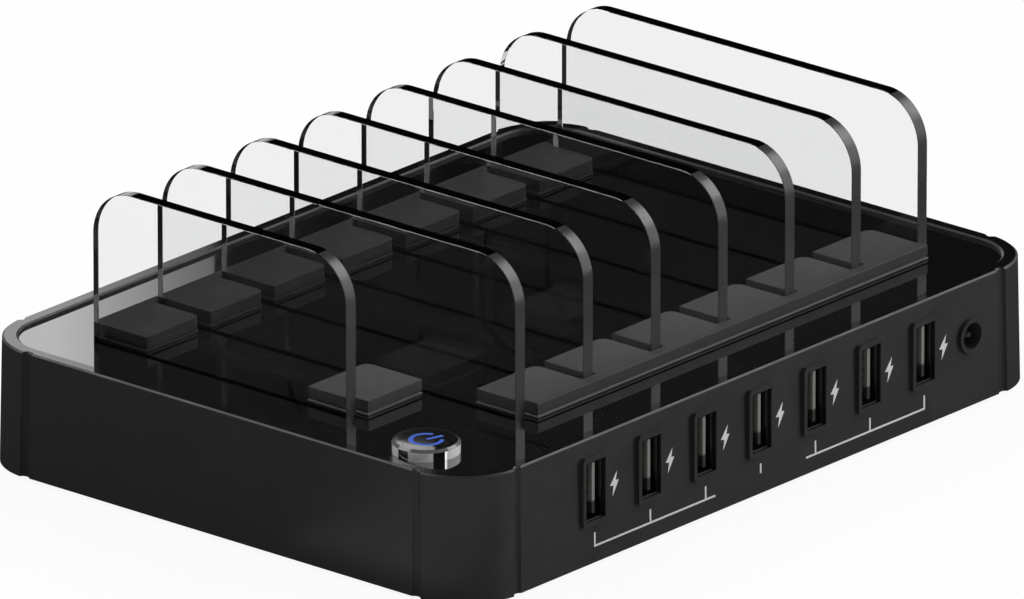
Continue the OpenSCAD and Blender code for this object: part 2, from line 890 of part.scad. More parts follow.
module usb_shell(k)
    color([0.6, 0.6, 0.62])
    translate([port_x(k), 0, 0]) {
        translate([0, 0, port_z])
            along_y(-usb_front_y, usb_len)
                difference() {
                    usb_outline(0);
                    usb_outline(usb_t);
                }
        for (side = [-1, 1], n = [0, 1])
            translate([side * (usb_w / 2 - usb_r) - usb_t / 2,
                    -usb_front_y + tab_inset + n * tab_pitch, z_board - tab_len])
                cube([usb_t, tab_w, tab_len + usb_t]);
    }

// Insulator: a block that closes the shell at the back, and the tongue in front of it
module usb_tongue(k)
    color([0.62, 0.61, 0.58])
    translate([port_x(k), 0, port_z])
        difference() {
            union() {
                along_y(block_front_y, block_back_y - block_front_y)
                    usb_outline(usb_t + seat_gap);
                along_y(block_front_y - tongue_len, tongue_len + usb_t)
                    translate([tongue_shift, 0])
                        rounded_rect(tongue_t, tongue_h, usb_t);
            }
            for (z = contact_z)
                translate([tongue_face - contact_t - seat_gap, block_front_y - usb_t,
                        z - contact_w / 2 - seat_gap])
                    cube([contact_t + seat_gap, block_back_y - block_front_y + over + usb_t,
                        contact_w + 2 * seat_gap]);
        }

// Four flat springs on the tongue, each with its leg down to the board
module usb_contacts(k)
    color([0.8, 0.7, 0.4])
    translate([port_x(k), 0, 0])
        for (n = [0 : len(contact_z) - 1])
            along_x(tongue_face - contact_t, contact_t)
                contact_outline(port_z + contact_z[n], block_back_y + leg_inset + n * leg_pitch);

module contact_outline(z, leg_y) {
    from = -usb_front_y + tongue_back + contact_back;
    low = z_board - board_t - leg_end;
    polygon([
        [from, z - contact_w / 2],
        [leg_y, z - contact_w / 2],
        [leg_y, low],
        [leg_y + leg_w, low],
        [leg_y + leg_w, z + contact_w / 2],
        [from, z + contact_w / 2],
    ]);
}

/* Power socket */
module dc_jack_body() {
    front = face_y + jack_proud;
    block_y = wall_y - jack_step_gap;
    color([0.1, 0.1, 0.11])
    difference() {
        union() {
            translate([jack_x, -block_y + over, jack_z])
                rotate([90, 0, 0])
                    cylinder(h = front - block_y + over, r = jack_r, $fn = round);
            translate([jack_x - jack_w / 2, -block_y, z_board])
                cube([jack_w, jack_len, jack_z + jack_top - z_board]);
        }
        translate([jack_x, -front + jack_bore_len, jack_z])
            rotate([90, 0, 0])
                cylinder(h = jack_bore_len + over, r = jack_bore_r, $fn = round);
        translate([jack_x, -front + jack_bore_len + jack_pin_root, jack_z])
            rotate([90, 0, 0])
                cylinder(h = jack_pin_root + over, r = jack_root_r + pin_gap, $fn = fine);
        translate([jack_x - spring_w / 2 - seat_gap, -block_y + wall_t, z_board - over])
            cube([spring_w + 2 * seat_gap, -front + jack_bore_len + block_y - wall_t,
                    jack_z - z_board + over]);
    }
}

module dc_jack_pin()
    color([0.8, 0.78, 0.7])
    translate([jack_x, -(face_y + jack_proud) + jack_bore_len + jack_pin_root, jack_z])
        rotate([90, 0, 0]) {
            cylinder(h = jack_pin_root, r = jack_root_r, $fn = fine);
            translate([0, 0, jack_pin_root])
                cylinder(h = jack_bore_len - jack_pin_back - jack_pin_r, r = jack_pin_r, $fn = fine);
            translate([0, 0, jack_pin_root + jack_bore_len - jack_pin_back - jack_pin_r])
                cylinder(h = jack_pin_r, r1 = jack_pin_r, r2 = jack_pin_r / 2, $fn = fine);
        }

// Flat spring in the slot below the bore, touching a plug's sleeve from below
module dc_jack_spring() {
    front = face_y + jack_proud;
    slot_y = -(wall_y - jack_step_gap) + wall_t;
    slot_len = -front + jack_bore_len - slot_y;
    top = jack_z - jack_bore_r;
    color([0.78, 0.76, 0.68])
    along_x(jack_x - spring_w / 2, spring_w)
        polygon([
            [slot_y + slot_len - seat_gap, z_board],
            [slot_y + slot_len - seat_gap, top],
            [slot_y + slot_len / 2, top + spring_rise],
            [slot_y + seat_gap, top - spring_t],
            [slot_y + seat_gap + spring_t, top - spring_t],
            [slot_y + slot_len / 2, top + spring_rise - spring_t],
            [slot_y + slot_len - seat_gap - spring_t, top - spring_t],
            [slot_y + slot_len - seat_gap - spring_t, z_board],
        ]);
}

/* Boards */
module main_board()
    color([0.08, 0.28, 0.15])
    difference() {
        translate([board_x, board_y, z_board_under])
            rounded_slab(board_len, board_dep, board_t, tooth_r);
        for (p = standoff_places)
            translate([p[0], p[1], z_board_under - over])
                cylinder(h = board_t + 2 * over, r = small_screw_r + 2 * pin_gap, $fn = fine);
        for (k = [1 : port_count]) {
            for (side = [-1, 1], n = [0, 1])
                translate([port_x(k) + side * (usb_w / 2 - usb_r) - usb_t / 2 - 2 * seat_gap,
                        -usb_front_y + tab_inset + n * tab_pitch - 2 * seat_gap, z_board_under - over])
                    cube([usb_t + 4 * seat_gap, tab_w + 4 * seat_gap, board_t + 2 * over]);
            for (n = [0 : len(contact_z) - 1])
                translate([port_x(k) + tongue_face - contact_t / 2,
                        block_back_y + leg_inset + n * leg_pitch + leg_w / 2, z_board_under - over])
                    cylinder(h = board_t + 2 * over, r = leg_hole_r, $fn = fine);
        }
    }

module on_board(x, y)
    translate([part_x + x, part_y - y, z_board])
        children();

module inductors()
    color([0.3, 0.3, 0.31])
    for (n = [0 : coil_count - 1])
        on_board(coil_start + n * coil_pitch, coil_row) {
            rounded_slab(coil_w, coil_w, coil_h / 3, pad_edge_r);
            cylinder(h = coil_h, r = coil_r, $fn = round);
            translate([0, 0, coil_h * 2 / 3])
                rounded_slab(coil_w, coil_w, coil_h / 3, pad_edge_r);
        }

module capacitors()
    color([0.35, 0.36, 0.4])
    for (n = [0 : can_count - 1])
        on_board(can_start + n * can_pitch, coil_row) {
            rounded_slab(2 * can_r, 2 * can_r, can_base_h, pad_edge_r);
            cylinder(h = can_h, r = can_r, $fn = round);
        }

module control_chips()
    color([0.12, 0.12, 0.12])
    for (n = [0 : coil_count - 1])
        on_board(coil_start + n * coil_pitch, chip_row)
            translate([-chip_w / 2, -chip_d / 2, 0])
                cube([chip_w, chip_d, chip_h]);

module heat_sink()
    color([0.75, 0.75, 0.77])
    on_board(sink_x, sink_row)
        translate([-sink_w / 2, -sink_d / 2, 0]) {
            cube([sink_w, sink_d, sink_base_h]);
            for (n = [0 : fin_count - 1])
                translate([n * (sink_w - fin_t) / (fin_count - 1), 0, 0])
                    cube([fin_t, sink_d, sink_h]);
        }

module board_screws()
    color([0.7, 0.7, 0.72])
    for (p = standoff_places)
        translate([p[0], p[1], z_board])
            mirror([0, 0, 1])
                board_screw(small_screw_len);

/* Bottom cover */
module base_pan() {
    w = housing_len - 2 * (wall_t + pan_gap);
    d = housing_dep - 2 * (wall_t + pan_gap);
    r = inner_corner_r - pan_gap;
    color([0.15, 0.15, 0.155])
    difference() {
        union() {
            translate([0, 0, z_base])
                rounded_slab(w, d, floor_t, r, smooth);
            translate([0, 0, z_base])
                linear_extrude(floor_t + lip_h)
                    difference() {
                        rounded_rect(w, d, r, smooth);
                        rounded_rect(w - 2 * pan_lip_t, d - 2 * pan_lip_t, r - pan_lip_t, smooth);
                    }
            four_corners(column_x, column_y)
                translate([0, 0, z_floor - over])
                    cylinder(h = pan_column_h + over, r = column_r, $fn = fine);
            for (p = standoff_places)
                translate([p[0], p[1], z_floor - over])
                    cylinder(h = z_board_under - z_floor + over, r = standoff_r, $fn = fine);
        }
        four_corners(column_x, column_y)
            translate([0, 0, z_base - over]) {
                cylinder(h = case_head_h + head_room + over, r = case_head_r + head_room, $fn = fine);
                cylinder(h = floor_t + pan_column_h + 2 * over, r = screw_r + 2 * pin_gap, $fn = fine);
            }
        for (p = standoff_places)
            translate([p[0], p[1], z_floor])
                cylinder(h = z_board_under - z_floor + over, r = small_screw_r + pin_gap, $fn = fine);
        four_corners(foot_x, foot_y)
            translate([0, 0, z_base - over])
                cylinder(h = foot_sink + over, r = foot_r + seat_gap, $fn = round);
        for (n = [0 : vent_count - 1])
            translate([board_x + (n - (vent_count - 1) / 2) * vent_pitch, vent_y, z_base - over])
                rounded_slab(vent_w, vent_len, floor_t + 2 * over, vent_w / 2 - pin_gap);
    }
}

module case_screws()
    color([0.7, 0.7, 0.72])
    four_corners(column_x, column_y)
        translate([0, 0, z_base + head_room]) {
            cylinder(h = case_head_h, r1 = case_head_r - head_room, r2 = case_head_r, $fn = fine);
            cylinder(h = z_floor + pan_column_h + case_screw_len - 2 * over - z_base - head_room,
                r = screw_r, $fn = fine);
        }

module foot(k) {
    sx = k % 2 == 1 ? -1 : 1;
    sy = k < 3 ? -1 : 1;
    color([0.08, 0.08, 0.08])
    translate([sx * foot_x, sy * foot_y, 0]) {
        cylinder(h = foot_h, r1 = foot_r - foot_taper, r2 = foot_r, $fn = round);
        translate([0, 0, foot_h])
            cylinder(h = foot_sink, r = foot_r, $fn = round);
    }
}

base_pan();
body_shell();
deck_panel();
front_rail();
rear_rail();
corner_block();
for (k = [1 : divider_count])
    divider(k);
button_ring();
button_cap();
power_symbol();
tact_switch();
tact_plunger();
button_board();
power_led();
button_lead();
lead_connectors();
for (k = [1 : port_count]) {
    usb_shell(k);
    usb_tongue(k);
    usb_contacts(k);
}
main_board();
dc_jack_body();
dc_jack_pin();
dc_jack_spring();
inductors();
capacitors();
control_chips();
heat_sink();
case_screws();
board_screws();
button_board_screws();
for (k = [1 : 4])
    foot(k);
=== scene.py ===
"""Charging station with clear dividers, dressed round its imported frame.

Lengths are millimetres where no docstring says otherwise, and MM turns them
into metres.
"""

import logging
import math
from contextlib import contextmanager
from dataclasses import dataclass, replace
from enum import Enum
from typing import Callable, Iterator, Optional, Sequence

import bmesh
import bpy
import numpy as np
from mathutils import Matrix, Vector


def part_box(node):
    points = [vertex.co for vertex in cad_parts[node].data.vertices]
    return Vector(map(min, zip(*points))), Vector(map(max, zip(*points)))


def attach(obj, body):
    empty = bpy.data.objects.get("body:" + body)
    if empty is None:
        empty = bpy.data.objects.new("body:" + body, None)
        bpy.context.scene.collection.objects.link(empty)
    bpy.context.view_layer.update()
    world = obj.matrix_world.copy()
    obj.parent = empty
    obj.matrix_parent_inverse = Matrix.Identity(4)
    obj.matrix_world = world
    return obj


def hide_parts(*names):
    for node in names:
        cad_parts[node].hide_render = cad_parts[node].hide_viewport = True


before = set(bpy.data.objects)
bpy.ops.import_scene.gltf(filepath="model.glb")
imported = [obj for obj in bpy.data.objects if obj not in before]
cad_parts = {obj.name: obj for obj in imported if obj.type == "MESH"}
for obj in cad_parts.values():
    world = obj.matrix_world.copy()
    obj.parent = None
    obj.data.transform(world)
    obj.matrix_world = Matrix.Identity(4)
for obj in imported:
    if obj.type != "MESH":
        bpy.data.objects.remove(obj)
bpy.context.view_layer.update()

LOG = logging.getLogger("charging_station")
MM = 0.001
STATION = "station"
FEET = 4
PORTS = 7
PORT_PITCH = 17.45
FIRST_PORT = -53.5
MERGE_GAP = 1e-7
TINY = 1e-20

Point2 = tuple[float, float]
Colour = tuple[float, float, float, float]
Socket = bpy.types.NodeSocket
Piece = bpy.types.Object


class Slot(Enum):
    """The record's material slots."""

    PAN = "pan_black"
    HOUSING = "housing_black"
    DECK = "deck_gloss_black"
    PAD = "pad_grey"
    ACRYLIC = "clear_acrylic"
    RING = "ring_chrome"
    CAP = "cap_gloss_black"
    SYMBOL = "symbol_blue"
    SWITCH = "switch_black"
    PLUNGER = "plunger_ivory"
    BOARD = "board_green"
    LAMP = "lamp_lens"
    LEAD = "lead_grey"
    CONNECTOR = "connector_white"
    SOCKET = "socket_steel"
    INSULATOR = "insulator_beige"
    GOLD = "contact_gold"
    TIN = "contact_tin"
    FERRITE = "ferrite_grey"
    CAN = "can_aluminium"
    CHIP = "chip_black"
    SINK = "sink_aluminium"
    SCREW = "screw_steel"
    FOOT = "foot_rubber"


# ---- Nodes -------------------------------------------------------------


def linear(shade: int) -> float:
    """Turn one display value from 0 to 255 into a linear share, by the sRGB curve."""
    share = shade / 255
    return share / 12.92 if share <= 0.04045 else ((share + 0.055) / 1.055) ** 2.4


def even(share: float) -> Colour:
    """Return the grey of one linear share."""
    return share, share, share, 1.0


def tint(red: int, green: int, blue: int) -> Colour:
    """Turn three display values into a linear colour."""
    return linear(red), linear(green), linear(blue), 1.0


def grey(shade: int) -> Colour:
    """Turn one display value into a linear grey."""
    return even(linear(shade))


class Graph:
    """Makes and joins the nodes of one tree."""

    EDGE_SAMPLES = 4
    EDGE_TURN = (0.995, 0.8)

    def __init__(self, tree: bpy.types.NodeTree) -> None:
        """Start with an empty tree."""
        self.tree = tree
        tree.nodes.clear()

    def add(self, kind: str, sockets: Optional[dict] = None, **settings: object) -> bpy.types.Node:
        """Add one node.

        Args:
            kind: The node's type name.
            sockets: Input name or number to a value, or to an output or a node to join.
            settings: Attributes of the node itself.

        Returns:
            The new node.
        """
        node = self.tree.nodes.new(kind)
        for key, value in settings.items():
            setattr(node, key, value)
        for key, value in (sockets or {}).items():
            if isinstance(value, bpy.types.Node):
                value = value.outputs[0]
            if isinstance(value, Socket):
                self.tree.links.new(value, node.inputs[key])
            else:
                node.inputs[key].default_value = value
        return node

    def noise(self, place: object, scale: float, detail: float = 3.0) -> Socket:
        """Return the value of a noise of so many cells per metre."""
        return self.add("ShaderNodeTexNoise", {"Vector": place, "Scale": scale, "Detail": detail}).outputs[0]

    def ramp(self, value: Socket, ends: Sequence[float], to: Sequence[float]) -> Socket:
        """Map the range between two ends on another range."""
        sockets = {"Value": value, "From Min": ends[0], "From Max": ends[1], "To Min": to[0], "To Max": to[1]}
        return self.add("ShaderNodeMapRange", sockets).outputs[0]

    def maths(self, work: str, first: object, second: object) -> Socket:
        """Return the result of one operation on two values."""
        return self.add("ShaderNodeMath", {0: first, 1: second}, operation=work).outputs[0]

    def dot(self, first: object, second: object) -> Socket:
        """Return the dot product of two vectors."""
        return self.add("ShaderNodeVectorMath", {0: first, 1: second}, operation="DOT_PRODUCT").outputs["Value"]

    def blend(self, share: object, first: object, second: object) -> Socket:
        """Mix two colours."""
        sockets = {0: share, 6: first, 7: second}
        return self.add("ShaderNodeMix", sockets, data_type="RGBA").outputs[2]

    def apart(self, place: object) -> bpy.types.NodeOutputs:
        """Return a place's X, Y and Z."""
        return self.add("ShaderNodeSeparateXYZ", {0: place}).outputs

    def surface(self, shader: bpy.types.Node) -> None:
        """Make one shader the material's surface."""
        self.add("ShaderNodeOutputMaterial", {"Surface": shader})

    def object_place(self) -> Socket:
        """Return the Object coordinates."""
        return self.add("ShaderNodeTexCoord").outputs["Object"]

    def edges(self, radius: float) -> Socket:
        """Return a mask that is 1 along edges of about this radius in metres."""
        soft = self.add("ShaderNodeBevel", {"Radius": radius}, samples=self.EDGE_SAMPLES)
        hard = self.add("ShaderNodeNewGeometry").outputs["Normal"]
        return self.ramp(self.dot(soft, hard), self.EDGE_TURN, (0.0, 1.0))


def new_material(name: str) -> tuple[bpy.types.Material, Graph]:
    """Return an empty material and the maker of its nodes."""
    made = bpy.data.materials.new(name)
    made.use_nodes = True
    return made, Graph(made.node_tree)


# ---- Finishes ----------------------------------------------------------


MADE: dict[str, bpy.types.Material] = {}


@dataclass(frozen=True)
class Finish:
    """A moulded, cast or plated surface.

    Its colour is mottled, its roughness varies, its grain is a bump, and
    its edges are rubbed to another shade.
    """

    name: str
    colour: Colour
    rough: float
    metal: float = 0.0
    specular: float = 0.5
    ior: float = 1.5
    coat: float = 0.0
    coat_ior: float = 1.5
    coat_rough: float = 0.03
    rough_spread: float = 0.06
    mottle: float = 0.12
    grain_cells: float = 2400.0
    grain: float = 0.15
    grain_depth: float = 0.02
    wear: float = 0.35
    wear_colour: Colour = (0.09, 0.09, 0.09, 1.0)
    wear_radius: float = 0.25
    sheen: float = 0.0
    see_through: float = 0.0

    MOTTLE_CELLS = 60.0
    RUB_CELLS = 420.0
    RUB_RANGE = (0.35, 0.65)
    RUB_SHARES = (0.3, 1.0)
    ROUGH_CELLS = 140.0
    ROUGH_RANGE = (0.3, 0.7)
    GRAIN_DETAIL = 2.0

    def base(self, graph: Graph, place: Socket) -> Socket:
        """Return the colour, with mottling and rubbed edges.

        Args:
            graph: The tree's maker.
            place: The Object coordinates.

        Returns:
            The colour output.
        """
        dark = tuple(c * (1 - self.mottle) for c in self.colour[:3]) + (1.0,)
        light = tuple(min(1.0, c * (1 + self.mottle)) for c in self.colour[:3]) + (1.0,)
        colour = graph.blend(graph.noise(place, self.MOTTLE_CELLS), dark, light)
        if self.wear > 0:
            broken = graph.ramp(graph.noise(place, self.RUB_CELLS), self.RUB_RANGE, self.RUB_SHARES)
            mask = graph.maths("MULTIPLY", graph.edges(self.wear_radius * MM), broken)
            colour = graph.blend(graph.maths("MULTIPLY", mask, self.wear), colour, self.wear_colour)
        return colour

    def height(self, graph: Graph, place: Socket) -> Socket:
        """Return the height that the bump reads."""
        return graph.noise(place, self.grain_cells, self.GRAIN_DETAIL)

    def metallic(self, graph: Graph, place: Socket) -> object:
        """Return how much of a metal the surface is."""
        return self.metal

    def roughness(self, graph: Graph, place: Socket) -> Socket:
        """Return the roughness, which varies a little."""
        low, high = max(0.0, self.rough - self.rough_spread), min(1.0, self.rough + self.rough_spread)
        return graph.ramp(graph.noise(place, self.ROUGH_CELLS), self.ROUGH_RANGE, (low, high))

    def material(self) -> bpy.types.Material:
        """Return the finish as a material, made once.

        Returns:
            The material.
        """
        if self.name in MADE:
            return MADE[self.name]
        made, graph = new_material(self.name + "_finish")
        MADE[self.name] = made
        place = graph.object_place()
        sockets = {
            "Base Color": self.base(graph, place),
            "Metallic": self.metallic(graph, place),
            "Roughness": self.roughness(graph, place),
            "IOR": self.ior,
            "Specular IOR Level": self.specular,
            "Coat Weight": self.coat,
            "Coat IOR": self.coat_ior,
            "Coat Roughness": self.coat_rough,
            "Sheen Weight": self.sheen,
            "Transmission Weight": self.see_through,
        }
        if self.grain > 0:
            bump = {"Height": self.height(graph, place), "Strength": self.grain, "Distance": self.grain_depth * MM}
            sockets["Normal"] = graph.add("ShaderNodeBump", bump)
        graph.surface(graph.add("ShaderNodeBsdfPrincipled", sockets))
        made.diffuse_color = self.colour
        return made


@dataclass(frozen=True)
class BoardFinish(Finish):
    """Solder mask over copper tracks, which show as paler, raised lanes."""

    lane_cells: float = 420.0
    lane_colour: Colour = (0.03, 0.22, 0.09, 1.0)
    lane_edges: Point2 = (0.08, 0.04)

    def lanes(self, graph: Graph, place: Socket) -> Socket:
        """Return a mask that is 1 on the copper lanes."""
        sockets = {"Vector": place, "Scale": self.lane_cells}
        cells = graph.add("ShaderNodeTexVoronoi", sockets, feature="DISTANCE_TO_EDGE")
        return graph.ramp(cells.outputs["Distance"], self.lane_edges, (0.0, 1.0))

    def base(self, graph: Graph, place: Socket) -> Socket:
        """Return the mask's green with the lanes in it."""
        return graph.blend(self.lanes(graph, place), super().base(graph, place), self.lane_colour)

    def height(self, graph: Graph, place: Socket) -> Socket:
        """Return the lanes as the height."""
        return self.lanes(graph, place)


@dataclass(frozen=True)
class BrushedFinish(Finish):
    """Metal with fine drawn lines along one axis."""

    metal: float = 1.0
    stretch: tuple[float, float, float] = (60.0, 3000.0, 3000.0)

    def height(self, graph: Graph, place: Socket) -> Socket:
        """Return long thin scratches as the height."""
        drawn = graph.add("ShaderNodeMapping", {"Vector": place, "Scale": self.stretch})
        return graph.noise(drawn, 1.0, self.GRAIN_DETAIL)


@dataclass(frozen=True)
class RingFinish(BrushedFinish):
    """Chrome round an upright axis, with painted highlights and shade: matt pale bands by turns with polished ones
    stand in for a turned ring's reflected light, and the bevel is painted dark.
    """

    axis: Point2 = (-79.4, -45.1)
    bands: tuple[Point2, ...] = ((-170, -129), (-105, -59), (-30, 5), (30, 70), (95, 115), (141, 167))
    band_edge: float = 1.5
    # How much of the pale base shows on the painted highlight bands.
    painted_highlight_share: float = 0.7
    bevel_foot: float = 29.3
    bevel_shade: float = 0.1

    def base(self, graph: Graph, place: Socket) -> Socket:
        """Return the colour, with painted shade on the bevel in place of its dark reflection."""
        plain = super().base(graph, place)
        # Painted shade: the bevel above its foot is painted dark.
        bevel = graph.maths("GREATER_THAN", graph.apart(place)["Z"], self.bevel_foot * MM)
        return graph.blend(bevel, plain, even(self.bevel_shade))

    def metallic(self, graph: Graph, place: Socket) -> Socket:
        """Return less metal on the painted highlight bands, where the pale base colour shows as matt white."""
        middle = [part * MM for part in self.axis] + [0.0]
        arm = graph.add("ShaderNodeVectorMath", {0: place, 1: middle}, operation="SUBTRACT")
        axes = graph.apart(arm)
        turn = graph.maths("ARCTAN2", axes["Y"], axes["X"])
        share = graph.ramp(turn, (-math.pi, math.pi), (0.0, 1.0))
        ramp = graph.add("ShaderNodeValToRGB", {0: share})
        stops = ramp.color_ramp.elements
        # Painted highlights: these bands are made matt, so their pale colour stands in for the reflected light of a
        # turned ring.
        for start, end in self.bands:
            bounds = (start - self.band_edge, start, end, end + self.band_edge)
            for turned, light in zip(bounds, (0.0, self.painted_highlight_share, self.painted_highlight_share, 0.0)):
                stops.new((turned + 180) / 360).color = even(light)
        for stop in stops:
            if stop.position in (0.0, 1.0):
                stop.color = even(0.0)
        # The bevel is no metal, so its painted dark shade shows.
        side = graph.maths("LESS_THAN", axes["Z"], self.bevel_foot * MM)
        polished = graph.maths("SUBTRACT", 1.0, ramp.outputs["Color"])
        return graph.maths("MULTIPLY", polished, side)


@dataclass(frozen=True)
class ShadedTongueFinish(Finish):
    """Pale nylon with painted shade: darker deep in the socket and at its lower end, where the socket's shade falls."""

    front: Point2 = (-66.9, -64.4)
    lower: Point2 = (14.0, 14.6)
    shade: float = 0.06
    deep_shade_share: float = 0.12

    def base(self, graph: Graph, place: Socket) -> Socket:
        """Return the nylon's colour, with painted shade darker inwards and downwards."""
        axes = graph.apart(place)
        # Painted shade deep in the socket and towards the tongue's lower end.
        depth = graph.ramp(axes["Y"], [y * MM for y in self.front], (1.0, self.deep_shade_share))
        height = graph.ramp(axes["Z"], [z * MM for z in self.lower], (self.shade, 1.0))
        dark = tuple(self.shade * part for part in self.colour[:3]) + (1.0,)
        return graph.blend(graph.maths("MULTIPLY", depth, height), dark, super().base(graph, place))


HOUSING_SATIN = Finish(
    "housing_satin", grey(42), 0.38, specular=0.3, grain=0.1, wear=0.25, wear_colour=grey(84), wear_radius=0.2
)
RIM_GLOSS = Finish(
    "rim_gloss", grey(14), 0.06, coat=0.35, rough_spread=0.02, grain=0.02, grain_cells=900.0, wear=0.5,
    wear_colour=grey(110), wear_radius=0.22,
)
DECK_GLOSS = Finish(
    "deck_gloss", grey(12), 0.03, ior=1.7, coat=1.0, coat_ior=1.7, coat_rough=0.015, rough_spread=0.02,
    mottle=0.2, grain=0.01, grain_cells=600.0, wear=0.0,
)
PAD_RUBBER = Finish(
    "pad_rubber", grey(42), 0.62, specular=0.25, grain=0.3, grain_cells=3200.0, wear=0.2, wear_colour=grey(70),
    wear_radius=0.2, sheen=0.02,
)
# Painted shade: the rear rail is the same rubber as the front one, painted darker where it is seen through the plates.
SHADED_REAR_PAD_RUBBER = replace(
    PAD_RUBBER, name="rear_pad_rubber_painted_shade", colour=grey(23), rough=0.66, specular=0.16, wear_colour=grey(56)
)
# Painted highlight: a paler grey for the up-facing faces at the pads' foot, in place of the bright edge line the light
# draws there; its lower roughness is real.
PAD_FOOT_HIGHLIGHT = Finish("pad_foot_highlight", grey(78), 0.35, wear=0.3, wear_colour=grey(120), wear_radius=0.1)
ACRYLIC = Finish(
    "clear_acrylic", (0.965, 0.968, 0.97, 1.0), 0.004, ior=1.49, rough_spread=0.003, mottle=0.01, grain=0.003,
    grain_cells=40.0, wear=0.0, see_through=1.0,
)
# Painted light: a satin grey for the cut ends that face the front light; the rear ends stay clear.
ACRYLIC_LIT_END = Finish(
    "acrylic_lit_cut_end", grey(70), 0.3, ior=1.49, mottle=0.08, grain=0.12, grain_cells=1400.0, wear=0.0,
    see_through=0.55,
)
CHROME = RingFinish(
    "polished_chrome", grey(232), 0.06, rough_spread=0.03, mottle=0.03, grain=0.02, wear=0.15,
    wear_colour=grey(250), stretch=(2500.0, 2500.0, 80.0),
)
CAP_GLOSS = Finish(
    "cap_gloss", grey(16), 0.03, ior=1.6, coat=0.6, rough_spread=0.01, grain=0.02, grain_cells=800.0, wear=0.25,
    wear_colour=grey(80), wear_radius=0.12,
)
SYMBOL_BLUE = Finish(
    "symbol_blue", tint(58, 96, 198), 0.35, grain=0.05, wear=0.1, wear_colour=tint(120, 150, 225), wear_radius=0.1
)
PAN_TEXTURED = Finish(
    "pan_textured", grey(36), 0.6, specular=0.35, grain=0.5, grain_cells=1500.0, grain_depth=0.05,
    wear=0.4, wear_colour=grey(80),
)
FOOT_RUBBER = Finish(
    "foot_rubber", grey(30), 0.8, specular=0.25, grain=0.45, grain_cells=2600.0, wear=0.3, wear_colour=grey(70),
    sheen=0.1,
)
# Painted shade: the housing's plastic painted darker for the shade inside the socket openings.
OPENING_SHADE_PLASTIC = Finish("opening_painted_shade", grey(24), 0.42, specular=0.35, wear=0.4, wear_colour=grey(80), wear_radius=0.15)
DRAWN_INWARDS = (3000.0, 60.0, 3000.0)
SOCKET_STEEL = BrushedFinish(
    "plated_steel", grey(104), 0.34, mottle=0.08, grain=0.08, wear=0.5, wear_colour=grey(225),
    wear_radius=0.1, stretch=DRAWN_INWARDS,
)
# The tongues' nylon, with painted shade deep in the socket and at the lower end.
INSULATOR = ShadedTongueFinish(
    "socket_insulator", tint(112, 111, 106), 0.5, wear=0.25, wear_colour=grey(200), wear_radius=0.08
)
GOLD = BrushedFinish(
    "gold_contact", tint(118, 108, 82), 0.3, grain=0.05, wear=0.2, wear_colour=tint(240, 214, 150),
    stretch=DRAWN_INWARDS,
)
TIN = BrushedFinish(
    "tinned_pin", grey(196), 0.25, grain=0.05, wear=0.2, wear_colour=grey(230), stretch=DRAWN_INWARDS
)
SWITCH_BLACK = Finish("switch_black", grey(30), 0.45, wear=0.3, wear_colour=grey(85), wear_radius=0.12)
PLUNGER = Finish("plunger_ivory", tint(206, 200, 182), 0.5, wear=0.2, wear_colour=grey(235), wear_radius=0.12)
BOARD = BoardFinish(
    "solder_mask", tint(24, 92, 52), 0.3, grain=0.4, grain_depth=0.03, wear=0.25, wear_colour=tint(150, 140, 90)
)
LAMP = Finish("lamp_lens", tint(190, 205, 240), 0.12, see_through=0.7, mottle=0.04, grain=0.02, wear=0.0)
LEAD = Finish("lead_sleeve", grey(120), 0.5, mottle=0.15, grain=0.2, wear=0.2, wear_colour=grey(165))
CONNECTOR = Finish("connector_nylon", tint(224, 221, 210), 0.45, wear=0.2, wear_colour=grey(245))
FERRITE = Finish("ferrite", grey(70), 0.7, grain=0.5, grain_cells=1800.0, wear=0.5, wear_colour=grey(120))
CAN = BrushedFinish(
    "can_aluminium", grey(205), 0.3, wear=0.3, wear_colour=grey(235), stretch=(2000.0, 2000.0, 90.0)
)
CHIP = Finish("chip_epoxy", grey(34), 0.6, grain=0.35, wear=0.3, wear_colour=grey(80))
SINK = BrushedFinish("sink_aluminium", grey(208), 0.35, wear=0.3, wear_colour=grey(238))
SCREW = BrushedFinish(
    "screw_steel", grey(188), 0.3, wear=0.4, wear_colour=grey(225), stretch=(1500.0, 1500.0, 100.0)
)
MARK_INK = Finish("mark_ink", grey(182), 0.5, mottle=0.06, grain=0.1, wear=0.0)


# ---- Mesh makers -------------------------------------------------------


def new_object(name: str, data: bpy.types.ID) -> Piece:
    """Put a mesh, lamp or camera into the scene under one name."""
    made = bpy.data.objects.new(name, data)
    bpy.context.scene.collection.objects.link(made)
    return made


def close_form(name: str, form: bmesh.types.BMesh) -> Piece:
    """Turn a form into a new object, and free the form."""
    mesh = bpy.data.meshes.new(name)
    form.to_mesh(mesh)
    form.free()
    return new_object(name, mesh)


@contextmanager
def opened(mesh: bpy.types.Mesh) -> Iterator[bmesh.types.BMesh]:
    """Open a mesh as a form, and write the changed form back."""
    form = bmesh.new()
    form.from_mesh(mesh)
    yield form
    form.to_mesh(mesh)
    form.free()


def merged_copy(name: str, nodes: Sequence[str]) -> Piece:
    """Copy CAD nodes into one object with their corners joined.

    Args:
        name: The new piece's name.
        nodes: The CAD nodes to copy.

    Returns:
        The new object.
    """
    form = bmesh.new()
    for node in nodes:
        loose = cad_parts[node].data.copy()
        with opened(loose) as part:
            bmesh.ops.remove_doubles(part, verts=part.verts, dist=MERGE_GAP)
        form.from_mesh(loose)
        bpy.data.meshes.remove(loose)
    for face in form.faces:
        face.material_index = 0
    return close_form(name, form)


def flatten_seams(piece: Piece, angle: float = 0.4) -> None:
    """Join the triangles that lie in one plane, within so many degrees."""
    with opened(piece.data) as form:
        bmesh.ops.dissolve_limit(form, angle_limit=math.radians(angle), verts=form.verts, edges=form.edges)


